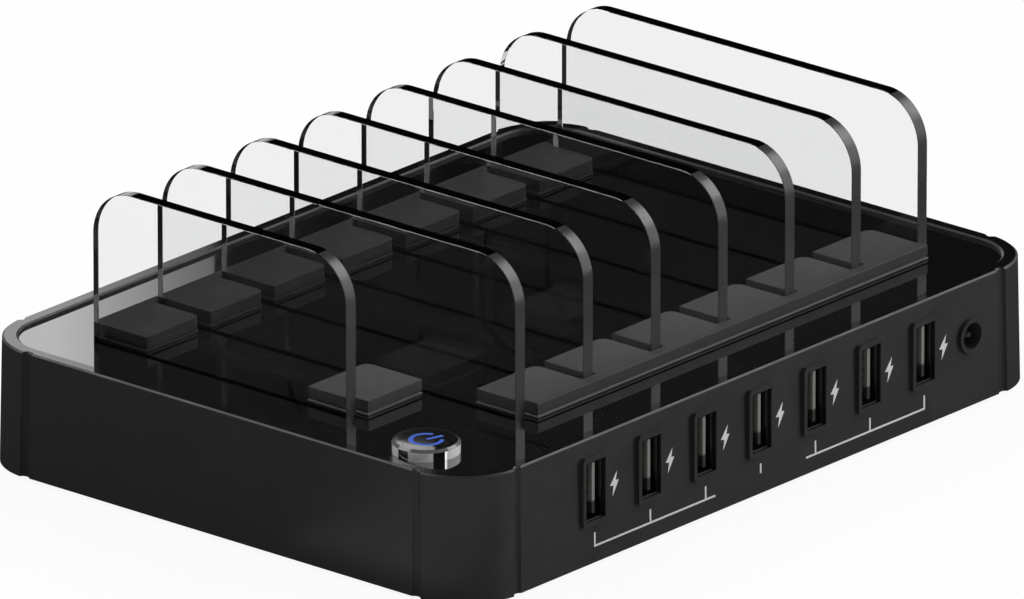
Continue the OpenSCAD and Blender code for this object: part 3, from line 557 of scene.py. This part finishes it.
def bake(piece: Piece) -> None:
    """Turn a piece's modifiers into its plain mesh."""
    shape = piece.evaluated_get(bpy.context.evaluated_depsgraph_get())
    mesh = bpy.data.meshes.new_from_object(shape)
    mesh.name = piece.name
    piece.modifiers.clear()
    piece.data = mesh


def soften(piece: Piece, width: float, steps: int, angle: float) -> None:
    """Round a piece's sharp edges.

    Args:
        piece: The piece, whose flat faces are joined first.
        width: The rounding.
        steps: The faces across it.
        angle: The turn in degrees above which an edge is sharp.
    """
    flatten_seams(piece)
    bevel = piece.modifiers.new("rounding", "BEVEL")
    bevel.width = width * MM
    bevel.segments = steps
    bevel.limit_method = "ANGLE"
    bevel.angle_limit = math.radians(angle)
    bevel.use_clamp_overlap = True
    bake(piece)


def flat_areas(first: np.ndarray, second: np.ndarray, normal: np.ndarray, angle: float = 0.5) -> np.ndarray:
    """Number the flat areas of a mesh.

    Args:
        first: One face of each pair that shares an edge.
        second: The other face of each pair.
        normal: The faces' normals.
        angle: The turn in degrees that still counts as flat.

    Returns:
        For each face, the number of the first face of its flat area.
    """
    level = (normal[first] * normal[second]).sum(axis=1) > math.cos(math.radians(angle))
    first, second = first[level], second[level]
    label = np.arange(len(normal))
    while True:
        low = np.minimum(label[first], label[second])
        after = label.copy()
        for place in (first, second, label[first], label[second]):
            np.minimum.at(after, place, low)
        after = after[after]
        if (after == label).all():
            return label
        label = after


def read(items: bpy.types.bpy_prop_collection, key: str, kind: type, wide: int = 1) -> np.ndarray:
    """Read one property of every item, which has so many parts."""
    values = np.empty(len(items) * wide, kind)
    items.foreach_get(key, values)
    return values


def mean_direction(group: np.ndarray, weight: np.ndarray, normal: np.ndarray, count: int) -> np.ndarray:
    """Average directions by groups.

    Args:
        group: Each direction's group number.
        weight: How much each counts.
        normal: The directions.
        count: How many groups there are.

    Returns:
        One direction of length 1 for each group.
    """
    total = np.stack([np.bincount(group, weight * normal[:, axis], count) for axis in range(3)], axis=1)
    return total / np.maximum(np.linalg.norm(total, axis=1, keepdims=True), TINY)


def smooth(piece: Piece, angle: float) -> None:
    """Shade a piece smooth between its sharp edges, with flat areas kept flat.

    At each corner the flat areas that meet there count by their size.

    Args:
        piece: The piece.
        angle: The turn in degrees above which an edge stays sharp.
    """
    mesh = piece.data
    count = len(mesh.polygons)
    normal = read(mesh.polygons, "normal", float, 3).reshape(-1, 3)
    area = read(mesh.polygons, "area", float)
    vertex, edge = read(mesh.loops, "vertex_index", int), read(mesh.loops, "edge_index", int)
    face = np.repeat(np.arange(count), read(mesh.polygons, "loop_total", int))
    order = np.argsort(edge, kind="stable")
    shared = edge[order][1:] == edge[order][:-1]
    label = flat_areas(face[order][:-1][shared], face[order][1:][shared], normal)
    size = np.bincount(label, area, count)
    facing = mean_direction(label, area, normal, count)
    meeting = np.unique(vertex * count + label[face])
    start = np.searchsorted(meeting // count, np.arange(len(mesh.vertices) + 1))
    many = np.diff(start)[vertex]
    corner = np.repeat(np.arange(len(vertex)), many)
    step = np.arange(len(corner)) - np.repeat(np.cumsum(many) - many, many)
    pick = (meeting % count)[start[vertex[corner]] + step]
    near = (facing[pick] * normal[face[corner]]).sum(axis=1) > math.cos(math.radians(angle))
    shown = mean_direction(corner, np.where(near, size[pick], 0.0), facing[pick], len(vertex))
    mesh.shade_smooth()
    mesh.normals_split_custom_set(shown.tolist())


def paint(piece: Piece, *finishes: Finish) -> None:
    """Give a piece its finishes, in slot order."""
    piece.data.materials.clear()
    for finish in finishes:
        piece.data.materials.append(finish.material())


def settle(piece: Piece, body: str, replaced: Sequence[str] = ()) -> None:
    """Hand a finished piece over to the frame.

    Args:
        piece: The finished piece.
        body: The body that it rides on.
        replaced: The CAD nodes that it stands for.
    """
    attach(piece, body)
    if replaced:
        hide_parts(*replaced)
    LOG.info("piece %s: %d faces on %s", piece.name, len(piece.data.polygons), body)


def loft(name: str, rings: Sequence[Sequence[Sequence[float]]]) -> Piece:
    """Skin a row of rings and close its ends.

    Args:
        name: The new object's name.
        rings: The rings' points, as many in each.

    Returns:
        The closed object, with its faces outwards.
    """
    form = bmesh.new()
    skin = [[form.verts.new(Vector(point) * MM) for point in ring] for ring in rings]
    form.faces.new(skin[0][::-1])
    form.faces.new(skin[-1])
    for first, second in zip(skin, skin[1:]):
        for this in range(len(first)):
            after = (this + 1) % len(first)
            form.faces.new((first[this], first[after], second[after], second[this]))
    bmesh.ops.recalc_face_normals(form, faces=form.faces)
    return close_form(name, form)


def upright(low: Point2, high: Point2, y: float) -> list[tuple[float, float, float]]:
    """Return an upright rectangle's four corners, from the X and Z of two."""
    return [(low[0], y, low[1]), (high[0], y, low[1]), (high[0], y, high[1]), (low[0], y, high[1])]


def join(name: str, parts: Sequence[Piece]) -> Piece:
    """Join plain meshes into one new object and delete the old ones.

    Args:
        name: The new object's name.
        parts: Objects at the origin without modifiers.

    Returns:
        The joined object.
    """
    form = bmesh.new()
    for part in parts:
        form.from_mesh(part.data)
        bpy.data.objects.remove(part)
    return close_form(name, form)


def nearest_port(x: float) -> tuple[int, float]:
    """Return the number, from 0, and the middle of the port nearest to a place."""
    number = round((x - FIRST_PORT) / PORT_PITCH)
    return number, FIRST_PORT + number * PORT_PITCH


class RowTree:
    """A Geometry Nodes tree that repeats its own object along a line."""

    NAME = "row_of_copies"
    INPUTS = (("Count", "NodeSocketInt"), ("Pitch", "NodeSocketVector"), ("Finish", "NodeSocketMaterial"))

    def __init__(self) -> None:
        """Make the tree, or find the one made before."""
        self.tree = bpy.data.node_groups.get(self.NAME) or self._made()

    def _made(self) -> bpy.types.NodeTree:
        """Return the new tree: line, copies, real geometry, finish."""
        tree = bpy.data.node_groups.new(self.NAME, "GeometryNodeTree")
        graph = Graph(tree)
        tree.interface.new_socket(name="Geometry", in_out="INPUT", socket_type="NodeSocketGeometry")
        for label, kind in self.INPUTS:
            tree.interface.new_socket(name=label, in_out="INPUT", socket_type=kind)
        tree.interface.new_socket(name="Geometry", in_out="OUTPUT", socket_type="NodeSocketGeometry")
        given = graph.add("NodeGroupInput").outputs
        line = graph.add("GeometryNodeMeshLine", {"Count": given["Count"], "Offset": given["Pitch"]}, mode="OFFSET")
        copies = graph.add("GeometryNodeInstanceOnPoints", {"Points": line, "Instance": given["Geometry"]})
        real = graph.add("GeometryNodeRealizeInstances", {"Geometry": copies})
        done = graph.add("GeometryNodeSetMaterial", {"Geometry": real, "Material": given["Finish"]})
        graph.add("NodeGroupOutput", {"Geometry": done})
        return tree

    def repeat(self, piece: Piece, count: int, finish: Finish) -> Piece:
        """Repeat a piece in place and make the result plain.

        Args:
            piece: The first of the row.
            count: How many there are, at the sockets' pitch.
            finish: What they are made of.

        Returns:
            The same object, which now holds the row.
        """
        row = piece.modifiers.new("row", "NODES")
        row.node_group = self.tree
        names = {item.name: item.identifier for item in self.tree.interface.items_tree if item.in_out == "INPUT"}
        row[names["Count"]] = count
        row[names["Pitch"]] = (PORT_PITCH * MM, 0.0, 0.0)
        row[names["Finish"]] = finish.material()
        bake(piece)
        return piece


# ---- Sub-assemblies ----------------------------------------------------


PieceRows = tuple[tuple[str, Sequence[str], Finish, Slot], ...]


def numbered(stem: str, count: int) -> list[str]:
    """Return the names of the CAD nodes that share a stem and count from 1."""
    return [f"{stem}_{number}" for number in range(1, count + 1)]


@dataclass(frozen=True)
class CopiedParts:
    """A sub-assembly whose pieces keep the shape of their CAD nodes.

    Each row of pieces has a name, the CAD nodes that the piece copies and
    stands for, its finish and the record's slot.
    """

    pieces: PieceRows
    body: str = STATION
    sharp: float = 35.0

    def build(self) -> None:
        """Build, shade, paint and settle each piece."""
        for name, nodes, finish, slot in self.pieces:
            piece = merged_copy(name, nodes)
            self.shape(piece)
            smooth(piece, self.sharp)
            paint(piece, finish)
            settle(piece, self.body, nodes)

    def shape(self, piece: Piece) -> None:
        """Change a copied mesh, where a sub-assembly has to."""


@dataclass(frozen=True)
class Housing:
    """The moulded housing: satin walls, glossy rim, and socket openings whose walls are painted darker as shade."""

    RIM = 1
    OPENING = 2

    rim_band: float = 0.1
    port_height: float = 17.05
    half_opening: Point2 = (3.05, 6.5)
    opening_depth: float = 4.0
    facing: float = 0.9
    sharp: float = 30.0

    def build(self) -> None:
        """Build the housing's one piece and dress it."""
        shell = merged_copy("housing", ["body_shell"])
        paint(shell, HOUSING_SATIN, RIM_GLOSS, OPENING_SHADE_PLASTIC)
        self.dress(shell)
        smooth(shell, self.sharp)
        settle(shell, STATION, ["body_shell"])

    def dress(self, shell: Piece) -> None:
        """Give the rim its own finish, and paint the walls inside the socket openings darker as shade."""
        low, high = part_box("body_shell")
        for face in shell.data.polygons:
            middle = face.center
            number, port = nearest_port(middle.x / MM)
            across, upward = middle.x / MM - port, middle.z / MM - self.port_height
            if middle.z > high.z - self.rim_band * MM and face.normal.z > self.facing:
                face.material_index = self.RIM
            # Painted shade on the walls inside each socket opening.
            elif (
                0 <= number < PORTS
                and abs(across) < self.half_opening[0]
                and abs(upward) < self.half_opening[1]
                and low.y < middle.y < low.y + self.opening_depth * MM
                and face.normal.y > -self.facing
            ):
                face.material_index = self.OPENING


@dataclass(frozen=True)
class Deck(CopiedParts):
    """The mirror-glossy panel in the rim."""

    pieces: PieceRows = (("deck", ["deck_panel"], DECK_GLOSS, Slot.DECK),)
    sharp: float = 30.0


@dataclass(frozen=True)
class PadRails:
    """The comb pads that carry the dividers, with softly rounded edges and a smoother line at the foot that is painted
    paler as a highlight.
    """

    rounding: float = 0.16
    rounding_steps: int = 3
    sharp: float = 40.0
    foot_highlight_heights: Point2 = (27.65, 28.0)
    facing_up: float = 0.3
    finishes: tuple[tuple[str, Finish, Finish], ...] = (
        ("front_rail", PAD_RUBBER, PAD_FOOT_HIGHLIGHT),
        # Painted shade: the rear rail takes the darker copy of the rubber, with no highlight line at its foot.
        ("rear_rail", SHADED_REAR_PAD_RUBBER, SHADED_REAR_PAD_RUBBER),
        ("corner_block", PAD_RUBBER, PAD_FOOT_HIGHLIGHT),
    )

    def build(self) -> None:
        """Build the two combs and the corner block."""
        for node, finish, line in self.finishes:
            pad = merged_copy(node + "_pads", [node])
            soften(pad, self.rounding, self.rounding_steps, self.sharp)
            smooth(pad, self.sharp)
            paint(pad, finish, line)
            # Painted highlight on the up-facing faces between these heights.
            low, high = (height * MM for height in self.foot_highlight_heights)
            for face in pad.data.polygons:
                face.material_index = int(low < face.center.z < high and face.normal.z > self.facing_up)
            settle(pad, STATION, [node])


@dataclass(frozen=True)
class Dividers:
    """Eight polished plates with chamfered edges, and satin grey cut ends on the side facing -Y only: painted light
    where the front light falls, while the rear ends stay clear.
    """

    count: int = 8
    corner: float = 10.3
    corner_steps: int = 24
    chamfer: float = 0.1
    lit_end_facing: float = -0.25
    sharp: float = 30.0

    def outline(self, low: Vector, high: Vector, inset: float) -> list[Point2]:
        """Return Y and Z round one plate.

        Args:
            low: The plate's lowest corner.
            high: Its highest corner.
            inset: How far inside the outline the points lie.

        Returns:
            The points, anticlockwise seen from +X.
        """
        radius = self.corner - inset
        far, near = high.y - self.corner, low.y + self.corner
        top = high.z - self.corner
        points = [(low.y + inset, low.z + inset), (high.y - inset, low.z + inset)]
        for middle, start in ((far, 0.0), (near, 90.0)):
            for step in range(self.corner_steps + 1):
                turn = math.radians(start + 90.0 * step / self.corner_steps)
                points.append((middle + radius * math.cos(turn), top + radius * math.sin(turn)))
        return points

    def plate(self, number: int) -> Piece:
        """Build one plate from rings of points.

        Args:
            number: The divider's number from the button side.

        Returns:
            The closed plate.
        """
        low, high = (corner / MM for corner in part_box(f"divider_{number}"))
        levels = (
            (low.x, self.chamfer), (low.x + self.chamfer, 0.0), (high.x - self.chamfer, 0.0), (high.x, self.chamfer),
        )
        rings = [[(x, *spot) for spot in self.outline(low, high, inset)] for x, inset in levels]
        return loft(f"plate_{number}", rings)

    def build(self) -> None:
        """Build and dress the eight plates, each on its own body."""
        for number in range(1, self.count + 1):
            plate = self.plate(number)
            smooth(plate, self.sharp)
            paint(plate, ACRYLIC, ACRYLIC_LIT_END)
            # Painted light: only the ends facing -Y, which the front light falls on, get the satin grey.
            for face in plate.data.polygons:
                face.material_index = int(face.normal.y < self.lit_end_facing)
            plate.visible_shadow = False
            settle(plate, f"divider_{number}_body", [f"divider_{number}"])


@dataclass(frozen=True)
class PowerButton(CopiedParts):
    """The push button: chrome ring, black cap, blue symbol and plunger, which move together."""

    pieces: PieceRows = (
        ("button_rim", ["button_ring"], CHROME, Slot.RING),
        ("button_face", ["button_cap"], CAP_GLOSS, Slot.CAP),
        ("button_mark", ["power_symbol"], SYMBOL_BLUE, Slot.SYMBOL),
        ("button_plunger", ["tact_plunger"], PLUNGER, Slot.PLUNGER),
    )
    body: str = "button"
    sharp: float = 30.0


@dataclass(frozen=True)
class SocketRow(CopiedParts):
    """Seven upright sockets: steel shells, tongues, contacts and springs."""

    pieces: PieceRows = (
        ("socket_shells", numbered("usb_shell", PORTS), SOCKET_STEEL, Slot.SOCKET),
        ("socket_tongues", numbered("usb_tongue", PORTS), INSULATOR, Slot.INSULATOR),
        ("socket_contacts", numbered("usb_contacts", PORTS), GOLD, Slot.GOLD),
    )
    spring_width: float = 2.2
    spring_taper: float = 0.25
    spring_reach: float = 0.55
    spring_from: float = 2.2
    spring_to: float = 8.6
    spring_steps: int = 10
    spring_metal: float = 0.22
    spring_heights: Point2 = (-3.4, 3.4)
    bow_power: float = 1.5
    lower_half: float = 1.0
    lower_outline: tuple[Point2, ...] = ((0.4, 0.0), (1.2, 0.75), (2.4, 0.75), (4.2, 0.0))
    nose_length: float = 0.8
    nose_shift: float = 0.22
    nose_share: float = 0.4565
    tongue_shift: float = 0.8

    def shape(self, piece: Piece) -> None:
        """Taper the tongues."""
        if piece.name == "socket_tongues":
            self.taper(piece)

    def taper(self, tongues: Piece) -> None:
        """Narrow the tongues' noses, so that a plug finds its way."""
        flatten_seams(tongues)
        with opened(tongues.data) as form:
            front = min(corner.co.y for corner in form.verts)
            every = list(form.verts) + list(form.edges) + list(form.faces)
            cut = Vector((0.0, front + self.nose_length * MM, 0.0))
            bmesh.ops.bisect_plane(form, geom=every, plane_co=cut, plane_no=(0.0, 1.0, 0.0), dist=MERGE_GAP)
            for corner in form.verts:
                if corner.co.y < front + self.nose_length * MM / 2:
                    _, port = nearest_port(corner.co.x / MM)
                    middle = port + self.tongue_shift
                    across = (corner.co.x / MM - middle) * self.nose_share
                    corner.co.x = (middle - self.nose_shift + across) * MM

    def shell(self) -> tuple[Vector, Vector]:
        """Return the first shell's lowest and highest corner."""
        low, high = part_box("usb_shell_1")
        return low / MM, high / MM

    def lower_spring(self) -> Piece:
        """Make the leaf spring on the first shell's lower narrow wall."""
        low, high = self.shell()
        middle = (low.x + high.x) / 2
        left, right = middle - self.lower_half, middle + self.lower_half
        rings = []
        for depth, rise in self.lower_outline:
            under = low.z + self.spring_metal + rise
            rings.append(upright((left, under), (right, under + self.spring_metal), low.y + depth))
        return loft("lower_spring", rings)

    def spring(self, height: float, side: int) -> Piece:
        """Make one leaf spring on a wide wall of the first shell.

        Args:
            height: Its middle above the socket's middle.
            side: 1 for the wall at low X, -1 for the other.

        Returns:
            The closed leaf, bowed into the socket.
        """
        low, high = self.shell()
        wall = (low.x if side > 0 else high.x) + side * self.spring_metal
        middle = (low.z + high.z) / 2 + height
        rings = []
        for step in range(self.spring_steps + 1):
            share = step / self.spring_steps
            y = low.y + self.spring_from + (self.spring_to - self.spring_from) * share
            bow = self.spring_reach * math.sin(math.pi * share) ** self.bow_power
            half = self.spring_width / 2 * (1 - self.spring_taper * share)
            inner = wall + side * (bow + self.spring_metal)
            rings.append(upright((wall + side * bow, middle - half), (inner, middle + half), y))
        return loft("spring", rings)

    def build(self) -> None:
        """Build the copied pieces, then the springs, which the CAD doesn't have."""
        super().build()
        leaves = [self.spring(height, side) for height in self.spring_heights for side in (1, -1)]
        leaves.append(self.lower_spring())
        springs = RowTree().repeat(join("socket_springs", leaves), PORTS, SOCKET_STEEL)
        smooth(springs, self.sharp)
        settle(springs, STATION)


@dataclass(frozen=True)
class PowerSocket(CopiedParts):
    """The round power socket: barrel, centre pin and side contact."""

    pieces: PieceRows = (
        ("power_socket_barrel", ["dc_jack_body"], HOUSING_SATIN, Slot.SWITCH),
        ("power_socket_pin", ["dc_jack_pin"], TIN, Slot.TIN),
        ("power_socket_contact", ["dc_jack_spring"], TIN, Slot.TIN),
    )


@dataclass(frozen=True)
class FaceMarks:
    """Printed ticks, brackets and charging bolts on the socket face."""

    half_depth: float = 67.05
    draft: float = 0.47
    rim_height: float = 28.2
    housing_height: float = 27.2
    film: float = 0.03
    sunk: float = 0.03
    bracket_ticks: int = 3
    first_tick: float = -52.95
    lone_tick: float = -0.6
    right_ticks: float = 16.85
    tick_width: float = 0.48
    tick_top: float = 7.5
    line_height: float = 4.6
    line_width: float = 0.44
    lone_foot: float = 5.4
    left_end: float = -15.0
    right_start: float = 13.8
    bolt: tuple[Point2, ...] = (
        (7.75, 18.86), (5.5, 16.1), (6.6, 15.9), (6.2, 13.6), (8.25, 16.8), (7.3, 16.9),
    )

    def bar(self, name: str, low: Point2, high: Point2) -> Piece:
        """Make one straight bar between two corners."""
        return loft(name, [upright(low, high, y) for y in (0.0, self.film + self.sunk)])

    def tick_row(self, name: str, first: float, count: int, foot: float) -> Piece:
        """Make a row of ticks.

        Args:
            name: The row's name.
            first: X of the first tick's middle.
            count: How many ticks there are.
            foot: The height of their lower ends.

        Returns:
            The row.
        """
        half = self.tick_width / 2
        tick = self.bar(name, (first - half, foot), (first + half, self.tick_top))
        return RowTree().repeat(tick, count, MARK_INK)

    def lean(self, marks: Piece) -> None:
        """Lay the marks against the face, which leans out downwards."""
        for corner in marks.data.vertices:
            drop = self.rim_height * MM - corner.co.z
            face = -(self.half_depth * MM + self.draft / self.housing_height * drop)
            corner.co.y += face - self.film * MM

    def build(self) -> None:
        """Build the two pieces of print."""
        half = self.tick_width / 2
        foot = self.line_height - self.line_width / 2
        head = foot + self.line_width
        last = self.right_ticks + (self.bracket_ticks - 1) * PORT_PITCH
        lines = [
            self.tick_row("left_ticks", self.first_tick, self.bracket_ticks, head),
            self.tick_row("right_ticks", self.right_ticks, self.bracket_ticks, head),
            self.tick_row("middle_tick", self.lone_tick, 1, self.lone_foot),
            self.bar("left_line", (self.first_tick - half, foot), (self.left_end, head)),
            self.bar("right_line", (self.right_start, foot), (last + half, head)),
        ]
        brackets = join("bracket_marks", lines)
        outlines = [[(FIRST_PORT + x, y, z) for x, z in self.bolt] for y in (0.0, self.film + self.sunk)]
        bolts = loft("bolt_marks", outlines)
        RowTree().repeat(bolts, PORTS, MARK_INK)
        for marks in (brackets, bolts):
            self.lean(marks)
            paint(marks, MARK_INK)
            settle(marks, STATION)


@dataclass(frozen=True)
class Inside:
    """The boards and what is soldered to them, kept as the frame has them."""

    finishes: tuple[tuple[str, Finish], ...] = (
        ("main_board", BOARD),
        ("button_board", BOARD),
        ("tact_switch", SWITCH_BLACK),
        ("power_led", LAMP),
        ("button_lead", LEAD),
        ("lead_connectors", CONNECTOR),
        ("inductors", FERRITE),
        ("capacitors", CAN),
        ("control_chips", CHIP),
        ("heat_sink", SINK),
        ("board_screws", SCREW),
        ("button_board_screws", SCREW),
    )

    def build(self) -> None:
        """Dress the CAD nodes that stay."""
        for node, finish in self.finishes:
            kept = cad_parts[node]
            paint(kept, finish)
            for face in kept.data.polygons:
                face.material_index = 0
            LOG.info("node %s: %s", node, finish.name)


@dataclass(frozen=True)
class Underside(CopiedParts):
    """The base pan, its screws and the four feet."""

    pieces: PieceRows = (
        ("base", ["base_pan"], PAN_TEXTURED, Slot.PAN),
        ("case_screw_set", ["case_screws"], SCREW, Slot.SCREW),
        ("feet", numbered("foot", FEET), FOOT_RUBBER, Slot.FOOT),
    )


# ---- Studio ------------------------------------------------------------


def aim(name: str, data: bpy.types.ID, place: Vector, out: Vector) -> Piece:
    """Put a lamp or camera in its place, with its back to one direction.

    Args:
        name: The holder's name.
        data: The lamp or camera.
        place: Where it hangs, in metres.
        out: The direction away from what it looks at.

    Returns:
        The holder.
    """
    holder = new_object(name, data)
    holder.location = place
    holder.rotation_mode = "QUATERNION"
    holder.rotation_quaternion = out.to_track_quat("Z", "Y")
    return holder


@dataclass(frozen=True)
class Lamp:
    """A soft square lamp aimed at the middle of the object, in metres and watts."""

    name: str
    towards: tuple[float, float, float]
    distance: float
    side: float
    power: float

    def build(self) -> None:
        """Hang the lamp."""
        light = bpy.data.lights.new(self.name, "AREA")
        light.energy = self.power
        light.size = self.side
        out = Vector(self.towards).normalized()
        aim(self.name, light, out * self.distance, out).visible_transmission = False


@dataclass(frozen=True)
class Studio:
    """Pale floor, soft lamps, cards for the gloss to mirror, and the camera.

    Its lengths are metres, but the aim, sheet_edge and the cap's card are
    millimetres. low_card has its X range and its Y range.
    """

    azimuth: float = -49.4291
    elevation: float = 20.2504
    distance: float = 5.2801
    aim_right: float = -0.0208
    aim_up: float = 25.2209
    lens: float = 900.0
    sensor: float = 36.0
    clip: Point2 = (0.1, 40.0)
    floor_radius: float = 6.0
    floor_sides: int = 64
    floor_matt: float = 0.86
    floor_white: float = 0.92
    ambient: float = 0.42
    dark: float = 0.02
    sheet_edge: float = -70.0
    sheet_fade: float = -0.111
    sheet_left: float = -0.5
    sheet_back: float = 0.85
    sheet_top: float = 0.372
    sheet_shine: Point2 = (0.42, 1.32)
    arcs: tuple[Point2, ...] = ((60.6, 112.6), (159.4, 241.0), (290.0, 380.0))
    arc_step: float = 8.0
    arc_radius: float = 1.2
    arc_height: Point2 = (0.1, 0.8)
    arc_shine: float = 0.5
    low_card: tuple[Point2, Point2] = ((-0.62, -0.1), (-0.5, -0.012))
    low_card_height: float = 0.001
    cap_card: tuple[Point2, ...] = ((-23.6, 122.9), (-15.2, 124.2), (-14.4, 125.2), (-23.6, 125.2))
    cap_card_back: float = 160.0
    cap_shine: float = 1.8
    lamps: tuple[Lamp, ...] = (
        Lamp("key_lamp", (0.713, -0.346, 0.610), 1.3, 0.75, 8.0),
        Lamp("front_lamp", (0.45, -0.85, 0.25), 1.3, 0.7, 8.0),
        Lamp("back_lamp", (-0.346, 0.610, 0.713), 1.3, 0.8, 8.0),
    )

    def axes(self) -> tuple[Vector, Vector, Vector]:
        """Return the camera's right, up and back directions."""
        turn, rise = math.radians(self.azimuth), math.radians(self.elevation)
        back = Vector((math.sin(turn) * math.cos(rise), -math.cos(turn) * math.cos(rise), math.sin(rise)))
        right = Vector((math.cos(turn), math.sin(turn), 0.0))
        return right, back.cross(right), back

    def behind(self, distance: float) -> Vector:
        """Return the level place so far beyond the object, seen from the camera."""
        back = self.axes()[2]
        return Vector((-back.x, -back.y, 0.0)).normalized() * distance

    def camera(self) -> None:
        """Place the camera with the long lens."""
        right, up, back = self.axes()
        data = bpy.data.cameras.new("camera")
        data.lens = self.lens
        data.sensor_width = self.sensor
        data.clip_start, data.clip_end = self.clip
        place = (right * self.aim_right + up * self.aim_up) * MM + back * self.distance
        bpy.context.scene.camera = aim("camera", data, place, back)

    def card(
        self, name: str, corners: Sequence[Sequence[Vector]], shine: Callable[[Graph], object], one_sided: bool = False
    ) -> None:
        """Hang a card that the camera and matt surfaces don't see.

        Args:
            name: The card's name.
            corners: One list of corners for each face.
            shine: Returns the strength that the card sends out.
            one_sided: Whether it isn't there from its back, but shows through the plates.
        """
        mesh = bpy.data.meshes.new(name)
        points, faces = [], []
        for face in corners:
            faces.append(range(len(points), len(points) + len(face)))
            points += face
        mesh.from_pydata(points, [], faces)
        material, graph = new_material(name)
        glow = graph.add("ShaderNodeEmission", {"Strength": shine(graph)})
        clear = graph.add("ShaderNodeBsdfTransparent")
        away = graph.add("ShaderNodeNewGeometry").outputs["Backfacing"] if one_sided else 0.0
        graph.surface(graph.add("ShaderNodeMixShader", {0: away, 1: glow, 2: clear}))
        mesh.materials.append(material)
        hung = new_object(name, mesh)
        hung.visible_camera = False
        hung.visible_diffuse = False
        hung.visible_transmission = one_sided
        hung.visible_shadow = False

    def bright_sheet(self) -> None:
        """Hang the bright sheet that the deck's left rear corner mirrors."""
        right, behind = self.axes()[0], self.behind(self.sheet_back)
        left, edge = right * self.sheet_left, right * self.sheet_edge * MM
        lift = Vector((0.0, 0.0, self.sheet_top))
        sheet = (behind + left, behind + edge, behind + edge + lift, behind + left + lift)

        def fade(graph: Graph) -> Socket:
            """Return a strength that grows away from the sheet's inner edge."""
            along = graph.dot(graph.object_place(), tuple(right))
            return graph.ramp(along, (self.sheet_edge * MM, self.sheet_fade), self.sheet_shine)

        self.card("bright_sheet", [sheet], fade)

    def ring_cards(self) -> None:
        """Stand pale cards in arcs round the object, for its bevels and its chrome to mirror."""
        faces = []
        for start, end in self.arcs:
            steps = max(2, round((end - start) / self.arc_step))
            turns = [math.radians(start + (end - start) * step / steps) for step in range(steps + 1)]
            feet = [Vector((math.cos(turn), math.sin(turn), 0.0)) * self.arc_radius for turn in turns]
            low, high = (Vector((0.0, 0.0, height)) for height in self.arc_height)
            faces += [(a + low, b + low, b + high, a + high) for a, b in zip(feet, feet[1:])]
        (left, right), (front, back) = self.low_card
        corners = ((left, front), (right, front), (right, back), (left, back))
        faces.append([Vector((x, y, self.low_card_height)) for x, y in corners])
        self.card("ring_cards", faces, lambda graph: self.arc_shine)

    def small_card(self) -> None:
        """Hang the small card that shows as a pale crescent in the button's cap."""
        right, behind = self.axes()[0], self.behind(self.cap_card_back)
        corners = [(behind + right * across + Vector((0.0, 0.0, height))) * MM for across, height in self.cap_card]
        self.card("cap_card", [corners], lambda graph: self.cap_shine, one_sided=True)

    def sight(self, graph: Graph) -> tuple[Socket, Socket]:
        """Tell the plain view of the surroundings from their mirror image.

        Args:
            graph: The tree's maker.

        Returns:
            1 where they are looked at, also through a plate, and 1 where a
            surface mirrors them.
        """
        path = graph.add("ShaderNodeLightPath").outputs
        seen = graph.maths("MAXIMUM", path["Is Camera Ray"], path["Is Transmission Ray"])
        onward = graph.maths("MAXIMUM", path["Is Glossy Ray"], path["Is Transmission Ray"])
        turned = graph.maths("MINIMUM", path["Glossy Depth"], 1.0)
        return seen, graph.maths("MULTIPLY", onward, turned)

    def floor(self) -> None:
        """Lay the pale floor, which keeps a soft shadow."""
        mesh = bpy.data.meshes.new("floor")
        turns = [2 * math.pi * side / self.floor_sides for side in range(self.floor_sides)]
        ring = [Vector((math.cos(turn), math.sin(turn), 0.0)) * self.floor_radius for turn in turns]
        mesh.from_pydata(ring, [], [tuple(range(self.floor_sides))])
        material, graph = new_material("floor_white")
        matt = graph.add("ShaderNodeBsdfDiffuse", {"Color": even(self.floor_matt)})
        white = graph.add("ShaderNodeEmission", {"Strength": 1.0})
        seen, mirrored = self.sight(graph)
        share = graph.maths("MULTIPLY", seen, self.floor_white)
        pale = graph.add("ShaderNodeMixShader", {0: share, 1: matt, 2: white})
        dark = graph.add("ShaderNodeBsdfDiffuse", {"Color": even(self.dark)})
        graph.surface(graph.add("ShaderNodeMixShader", {0: mirrored, 1: pale, 2: dark}))
        mesh.materials.append(material)
        new_object("floor", mesh)

    def world(self) -> None:
        """Make the white surroundings."""
        world = bpy.data.worlds.new("studio")
        bpy.context.scene.world = world
        world.use_nodes = True
        graph = Graph(world.node_tree)
        seen, mirrored = self.sight(graph)
        pale = graph.ramp(seen, (0.0, 1.0), (self.ambient, 1.0))
        shade = graph.maths("SUBTRACT", 1.0, graph.maths("MULTIPLY", mirrored, 1.0 - self.dark))
        strength = graph.maths("MULTIPLY", pale, shade)
        light = graph.add("ShaderNodeBackground", {"Strength": strength})
        graph.add("ShaderNodeOutputWorld", {"Surface": light})

    def build(self) -> None:
        """Build everything round the object."""
        self.floor()
        self.world()
        self.bright_sheet()
        self.ring_cards()
        self.small_card()
        for lamp in self.lamps:
            lamp.build()
        self.camera()
        bpy.context.scene.view_settings.view_transform = "Standard"
        LOG.info("studio ready")


def main() -> None:
    """Build every sub-assembly in order, then the studio."""
    logging.basicConfig(level=logging.INFO, format="%(message)s")
    assemblies = (
        Housing(), Deck(), PadRails(), Dividers(), PowerButton(), SocketRow(), PowerSocket(), FaceMarks(),
        Inside(), Underside(),
    )
    for assembly in assemblies:
        LOG.info("building %s", type(assembly).__name__)
        assembly.build()
    Studio().build()


if __name__ == "__main__":
    main()
